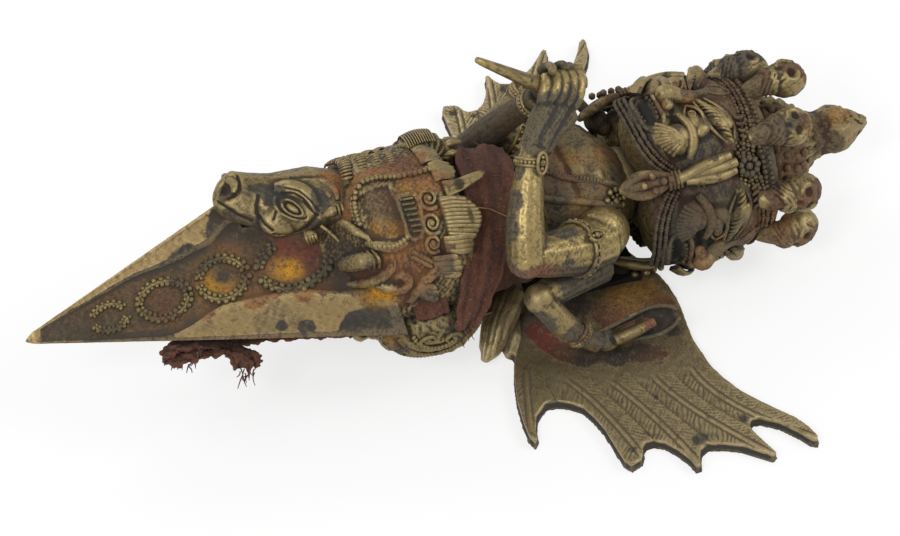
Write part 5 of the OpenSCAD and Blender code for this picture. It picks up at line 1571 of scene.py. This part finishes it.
def makeEars():
    parts, pearls = [], []
    for angle in earAngles:
        def at(x, turn, r, angle=angle):
            return polar(x, angle + turn, r)
        parts += [dragged([at(271, -5, 34.5), at(265, -4, 35.6), at(258, -2, 35.6), at(251, 1, 34),
                           at(246, 2, 32.6)], 2.4, 0.6),
                  dragged([at(272, 5, 34.8), at(265, 6, 36), at(258, 5, 36), at(252, 4, 34.6)], 2.2,
                          0.5),
                  dragged([at(273, 0, 34.4), at(266, 1, 34.8), at(259, 1.5, 35), at(251, 2, 33.4)], 2.5,
                          0.6)]
        for k in range(4):
            x = 250.4 - 1.5 * k
            parts.append(dragged([at(x, -4, 33.4), at(x - 0.4, 1.5, 35.4), at(x, 7, 33.4)], 0.8, 0.6))
        for row in (-5, 0, 5):
            parts.append(dragged([at(247, row * 0.3, 33), at(241, row, 33.4), at(235, row * 1.3, 31.8),
                                  at(230, row * 0.5, 29.6), at(227.5, 0, 28.6)], 2.1, 0.3))
        for x, turn in ((243, 0), (239, -4.5), (239, 4.5), (235, 0), (246, 0)):
            pearls.append((at(x, turn, 36), 1.5))
        for t in around(9):
            pearls.append((at(278 + 3.4 * math.cos(t), 5 + 5.2 * math.sin(t), 33.6), 1.35))
        pearls.append((at(278, 5, 33.4), 1.6))
    body = joined([strands(parts, 4, 4), beads(pearls, 5)])
    spots = []
    for angle in earAngles[:2]:
        spots += spotRows(earSpots, lambda x, turn, r: polar(x, angle + turn, r))
    settle(body, "earOrnaments", axisFrame, "cast", "ear_ornaments", spots)


makeEars()


# crown, skulls, bun and finial
def makeSkull():
    parts = [lump((2.6, 0, -0.4), (8.6, 7.6, 7.0)), lump((-3.6, 0, -0.4), (5.4, 6.2, 5.6)),
             strands([[((-13, 0, -6.4), 3.4), ((-9, 0, -3.6), 4.2), ((-4, 0, -1), 5.2)]], 5, 3)]
    skull = fused(parts, 0.5, 2)

    def shape(p, n):
        x, y, _ = p.T
        front = ease(0.0, 0.35, n[:, 2])
        gap = np.minimum(np.hypot(x - 2.6, (np.abs(y) - 3.0)), 9)
        sockets = np.exp(-(gap / 1.75) ** 4) * front
        rims = np.exp(-((gap - 2.9) / 0.6) ** 2) * front
        nose = np.exp(-(((x + 1.8) / 1.0) ** 2 + (y / 0.9) ** 2)) * front
        bands = 0.16 * np.cos((x + 0.12 * y * y + 4.4) * 2.9)
        bands *= ease(-10, -8.5, x) * (1 - ease(-4.2, -3.2, x))
        return -2.0 * sockets + 0.65 * rims - 0.8 * nose + bands + 0.22 * ripple(p, 0.7)

    relief(skull, shape)
    return skull


skullTilt = 12
crownSkulls = {
    "angles": (-112, -68, -23, 1, 36, 79, 114), "x": (295, 294.5, 291, 301, 295.5, 294, 295),
    "r": (35, 35, 34.4, 34.6, 34.4, 36.6, 36.4),
}
skullSpots = {  # x, angle, distance from the axis, reach, amount
    "earth": ((289, 1, 35, 6, 1.6), (288, 36, 35, 6, 1.6), (287, 114, 34, 6, 1.6),
              (302, 114, 40, 5, 1.0)),
    "maroon": ((287, 79, 35, 5, 1.8), (303, 36, 39, 3, 1.0), (302, 76, 40, 4, 1.0),
               (304, 1, 41, 3.4, 1.6), (295, 1, 36, 4, 1.2)),
    "sootAndShade": ((287, -23, 34, 6, 1.6), (287, -68, 34, 6, 1.4), (292, -23, 41, 5, 1.8),
             (297, 36, 41, 2, 1.2), (290, 36, 38, 4, 1.2)),
    "rust": ((298, 79, 38, 5, 0.6), (296, 114, 36, 5, 0.6), (296, 79, 43, 3.4, 1.3),
             (310, 4, 36, 4, 1.0), (300, 114, 43, 4, 1.3)),
    "plum": ((298, -26, 38, 5, 1.4),),
    "orange": ((290, 112, 34, 5, 1.4), (288, 95, 32, 5, 1.2)),
    "ochre": ((302, 40, 34, 4, 1.0),),
}
bandProfile = ((283, 22), (283.5, 30), (285.5, 32.4), (288, 32.6), (290, 31), (291, 27), (292, 18))
bandSpots = {"earth": ((287, -30, 33, 8, 1.0), (287, 30, 33, 8, 1.0), (287, 120, 33, 8, 1.0)),
             "maroon": ((287, 0, 33, 8, 1.0),), "sootAndShade": ((287, 60, 33, 8, 1.0),),
             "orange": ((287, 90, 33, 8, 1.0),), "rust": ((287, 150, 33, 8, 1.0),)}
bunProfile = ((289, 14), (290, 17), (295, 18.4), (301, 18.2), (306, 16.6), (310, 13), (313, 11.5), (315, 9))
bunBeads = ((291, 18.4, 1.9, 22), (295, 19.2, 1.9, 22), (299, 19.2, 1.9, 22), (303, 18.4, 1.9, 21),
            (306.8, 16.6, 1.8, 19), (310, 14, 1.6, 18))  # x, radius, size, count
bunSpots = {"maroon": ((300, 10, 18, 8, 1.0), (300, 200, 18, 8, 1.0)), "rust": ((300, 75, 18, 8, 1.0),),
            "earth": ((300, 40, 18, 8, 1.0), (300, 110, 18, 8, 1.0), (300, 300, 18, 8, 1.0))}
finialProfile = ((312, 8), (314, 9.8), (317, 9.6), (319.5, 8.0), (322, 8.8), (326, 9.6), (329.5, 8.8),
                 (332.5, 7), (335.5, 5), (338, 3), (340.2, 1.4))
finialBeads = ((314.6, 9.6, 1.9, 0), (320.5, 8.2, 1.5, 30), (325.5, 9.2, 1.7, 0), (330, 8.0, 1.4, 30))
finialSpots = {"maroon": ((316, 60, 8, 5, 1.2),), "ochre": ((328, 10, 9, 4, 1.4),),
               "earth": ((322, 90, 9, 5, 1.2), (318, 0, 9, 5, 1.0))}
roseRings = ((4.2, 9, 1.3), (2.2, 6, 0.9), (0, 1, 1.7))  # radius, count, size


def smoothTurned(rows):
    return modified(loft(rows), "SUBSURF", levels=1, render_levels=1)


def makeCrown():
    skull = makeSkull()
    copies = []
    for angle, x, r in zip(*crownSkulls.values()):
        place = turned("X", angle) @ Matrix.Translation((x, 0, r)) @ turned("Y", skullTilt)
        copies.append(movedCopy(skull, place))
    bpy.data.objects.remove(skull)
    settle(joined(copies), "crownSkulls", axisFrame, "cast", "crown_skulls",
           spotRows(skullSpots, polar))

    band = smoothTurned([hoop(x, r, 96) for x, r in bandProfile])
    relief(band, lambda p, n: 0.25 * ripple(p, 0.5, 3))
    pearls = [(polar(284.2 + 2.6 * row, 3.6 * i + 1.8 * row, 32.2 + 0.2 * row),
               1.05 + 0.12 * math.sin(i * 1.9)) for row in range(2) for i in range(100)]
    settle(joined([band, beads(pearls, 5)]), "crownBand", axisFrame, "cast", "crown_band",
           spots=spotRows(bandSpots, polar))

    bun = smoothTurned([hoop(x, r, 72) for x, r in bunProfile])

    def locks(p, n):
        turn = np.degrees(np.arctan2(p[:, 1], p[:, 2]))
        return 0.7 * np.sin(0.32 * turn + 0.35 * p[:, 0]) + 0.3 * ripple(p, 0.9)

    relief(bun, locks)
    pearls = []
    for x, r, size, count in bunBeads:
        for i in range(count):
            at = polar(x + 0.5 * math.sin(i * 2.3), (360 / count) * i + x * 3, r - 1.3)
            pearls.append((at, size * (1 + 0.12 * math.sin(i * 1.7 + x))))
    settle(joined([bun, beads(pearls, 5)]), "hairBun", axisFrame, "dark", "hair_bun",
           spotRows(bunSpots, polar))

    angles = [360 * i / 64 for i in range(64)]
    rows = [[polar(x, angle, r * (1 + 0.07 * math.cos(math.radians(6 * angle)))) for angle in angles]
            for x, r in finialProfile]
    finial = smoothTurned(rows)
    relief(finial, lambda p, n: 0.5 * ripple(p, 0.6) + 0.2 * ripple(p, 1.6))
    pearls = [(polar(x, 60 * i + turn, r - 0.9), size) for x, r, size, turn in finialBeads
              for i in range(6)]
    settle(joined([finial, beads(pearls, 6)]), "finialJewel", axisFrame, "cast", "finial",
           spotRows(finialSpots, polar))

    roses = []
    for side in (-1, 1):
        for r, count, size in roseRings:
            for t in around(count):
                roses.append((onTorso(226.5 + r * math.cos(t), side * (58 + 2.6 * r * math.sin(t)),
                                      1.2), size))
    settle(beads(roses, 5), "shoulderRosettes", axisFrame, "cast", "shoulder_rosettes")


makeCrown()


# cloth round the waist and its end under the blade
# a creased strip along a path of (centre, width, outward) or (centre, width, outward, across)
def ribbon(path, across, folds, thick, steps, count, waves):
    centres = np.array([p[0] for p in path], float)
    widths, out = np.array([p[1] for p in path], float), np.array([p[2] for p in path], float)
    sides = np.array([p[3] if len(p) > 3 else across for p in path], float)
    t = np.linspace(0, len(path) - 1, steps)
    base = np.clip(t.astype(int), 0, len(path) - 2)
    u = (t - base)[:, None]
    before, after = np.clip(base - 1, 0, None), np.clip(base + 2, None, len(path) - 1)

    def smooth(values):
        return between(values[before], values[base], values[base + 1], values[after], u)

    middle, outward, side = smooth(centres), smooth(out), smooth(sides)
    outward /= np.linalg.norm(outward, axis=1)[:, None]
    side /= np.linalg.norm(side, axis=1)[:, None]
    wide = smooth(widths[:, None])[:, 0]
    rows = []
    for j in range(steps):
        row = []
        for i in range(count):
            s = i / (count - 1) - 0.5
            edge = 0.7 * math.sin(j * 0.5 + 3 * s) * abs(s)
            height = math.sin(s * 6.28 * waves + 0.05 * j + 1.1 * math.sin(j * 0.09))
            height += 0.4 * math.sin(s * 25 - 0.11 * j) + 0.25 * math.sin(j * 0.5 + s * 5)
            row.append(middle[j] + side[j] * (s * wide[j] + edge) + outward[j] * folds * height)
        rows.append(row)
    strip = loft(rows, closed=False)
    modified(strip, "SOLIDIFY", thickness=thick, offset=0)
    modified(strip, "SUBSURF", levels=1, render_levels=1)
    return strip


def anyWay(reach):
    return Vector([random.uniform(-reach, reach) for _ in range(3)])


def frayed(at, way, count, reach, spread):  # loose threads
    paths = []
    for _ in range(count):
        start = Vector(at) + anyWay(spread)
        aim = Vector(way) + anyWay(0.7)
        bend = anyWay(1) * reach * 0.2
        tip = start + aim * reach * random.uniform(0.7, 1)
        paths.append([(tuple(start), 0.28), (tuple(start + aim * reach * 0.4 + bend), 0.24),
                      (tuple(tip), 0.14)])
    return paths


def flatArea(obj):  # area of one side of the cloth, in square metres
    return sum(face.area for face in obj.data.polygons) * 0.5


# middle, width and outward way of each cloth, and the way across it where it turns
bandPath = (((184, 15, 24), 19, (0, 0.5, 1), (0.97, 0, -0.25)),
            ((182.5, 5, 27), 23, (0, 0.1, 1), (0.95, -0.05, -0.3)),
            ((180, -7, 26.8), 22, (-0.1, -0.4, 1), (0.93, -0.1, -0.35)),
            ((177, -17.5, 22.6), 20, (-0.2, -0.8, 0.9), (0.88, -0.15, -0.5)),
            ((172.5, -27, 15.5), 18, (-0.3, -1, 0.7), (0.9, -0.1, -0.42)),
            ((167.5, -34.6, 8), 16.5, (-0.3, -1, 0.5), (0.95, 0, -0.3)),
            ((162.6, -39.8, 0.5), 14, (-0.3, -1, 0.3), (0.97, 0.05, -0.25)),
            ((159.4, -42.4, -5), 11.5, (-0.3, -1, 0.1), (0.98, 0.1, -0.2)),
            ((157.6, -43, -9), 9, (-0.3, -1, 0), (0.98, 0.1, -0.2)))
foldPath = (((147, -14, 27), 9, (0, -0.5, 1)), ((146.5, -24, 18), 11, (0, -0.9, 0.6)),
            ((146, -33, 7), 13, (0, -1, 0.3)), ((146.5, -39, -3), 13, (0, -1, 0.1)))
endPath = (((126, 4, -27.6), 14, (0, 0, -1)), ((110, 2, -25.4), 14, (0, 0, -1)),
           ((90, -2, -20.4), 14, (0, 0, -1)), ((74, -8, -16.6), 12, (0.2, -0.3, -1)),
           ((61, -12.6, -13.6), 10, (0.2, -0.6, -1)), ((51.5, -16, -12.8), 9, (-0.4, -0.6, -1)),
           ((46.8, -17.2, -14.2), 8, (-1, -0.4, -0.3)), ((50, -17.6, -16), 8, (0.2, -0.6, -1)),
           ((56.5, -17, -16.2), 8, (0.2, -0.8, -1)), ((62.4, -14.6, -17), 8, (0, -0.9, -0.8)),
           ((67.6, -14.6, -18.4), 9, (0, -0.5, -1), (0.6, 0.7, 0)),
           ((72.4, -18.4, -19.4), 12, (0, -0.8, -0.8), (0.9, 0.1, -0.1)),
           ((74.6, -22, -20.6), 13, (0, -1, -0.4), (0.95, 0.1, -0.2)),
           ((75.2, -23, -23), 12.5, (0, -1, 0), (0.95, 0.1, -0.2)),
           ((75.2, -22.6, -25.4), 10, (0, -1, 0.2), (0.95, 0.1, -0.2)))
clothWind = {"start": -200, "step": 25, "rows": 30, "x": 179.5, "radius": 18.8, "growth": 0.011,
             "width": 25}
frays = {  # place, way, count, reach and spread of the loose threads
    "waist": (((157, -42, -9), (-0.3, -0.2, -1), 12, 4, 2.5),
              ((178, 2, 28), (-1, 0.2, 0.5), 8, 3, 6),
              ((186, -10, 24), (0.6, -0.6, 0.4), 8, 3, 5)),
    "end": (((75, -23, -25), (-0.3, -0.2, -0.9), 22, 3.4, 3),
            ((57, -18, -17.4), (-0.3, -0.4, -0.9), 12, 2.6, 4),
            ((49, -18, -16.4), (-0.2, -0.4, -0.9), 8, 2.4, 2.6)),
}
tiePath = ((167, -19, 25.6, 0.24), (170, -18.6, 26.6, 0.26), (175, -19, 25.4, 0.26), (180, -20, 22, 0.26),
           (183.5, -21, 19.4, 0.22))


def looseThreads(name):
    return strands([thread for fray in frays[name] for thread in frayed(*fray)], 1, 2)


def makeCloth():
    wound = []
    for i in range(clothWind["rows"]):
        a = clothWind["start"] + clothWind["step"] * i
        r = clothWind["radius"] + clothWind["growth"] * clothWind["step"] * i
        x = clothWind["x"] + 0.8 * math.sin(i * 0.8)
        wound.append((polar(x, a, r), clothWind["width"], polar(0, a, 1)))
    wrap = ribbon(wound, (1, 0, 0), 0.5, 1.4, 190, 22, 1.6)
    band = ribbon(bandPath, (0.97, -0.12, -0.2), 0.75, 1.5, 80, 26, 1.7)
    fold = ribbon(foldPath, (1, 0, 0), 0.5, 1.4, 30, 14, 1.2)
    for piece in (wrap, band, fold):
        relief(piece, lambda p, n: 0.22 * ripple(p, 0.45, 2) + 0.12 * ripple(p, 1.5))
    threads = looseThreads("waist")
    settle(wrap, "waistWrap", axisFrame, "velvet", "waist_cloth")
    settle(band, "hangingBand", axisFrame, "velvet", None)
    settle(fold, "hiddenFold", axisFrame, "velvet", None)
    settle(threads, "waistThreads", axisFrame, "velvet", None)
    tie = strands(rods({"tie": tiePath}), 2, 4)
    settle(tie, "tieThread", axisFrame, "shine", None)

    end = ribbon(endPath, (0.1, 0.92, 0.3), 0.9, 1.4, 190, 20, 1.6)
    relief(end, lambda p, n: 0.8 * ripple(p, 0.5, 4) + 0.3 * ripple(p, 1.4))
    settle(end, "clothEnd", lowerFrame, "velvet", "cloth_tail")
    loose = looseThreads("end")
    settle(loose, "endThreads", lowerFrame, "velvet", None)
    for piece in (wrap, band, fold, end):
        print(piece.name, "flat area", round(flatArea(piece), 6))


makeCloth()

carriedLooks = {"tang": "dark", "wing_rivets": "wing", "arm_pegs": "dark", "neck_dowel": "dark",
                "wing_bracket": "dark"}
for node, look in carriedLooks.items():
    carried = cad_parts[node]
    carried.data.materials.clear()
    carried.data.materials.append(looks[look])
print("carried nodes dressed")
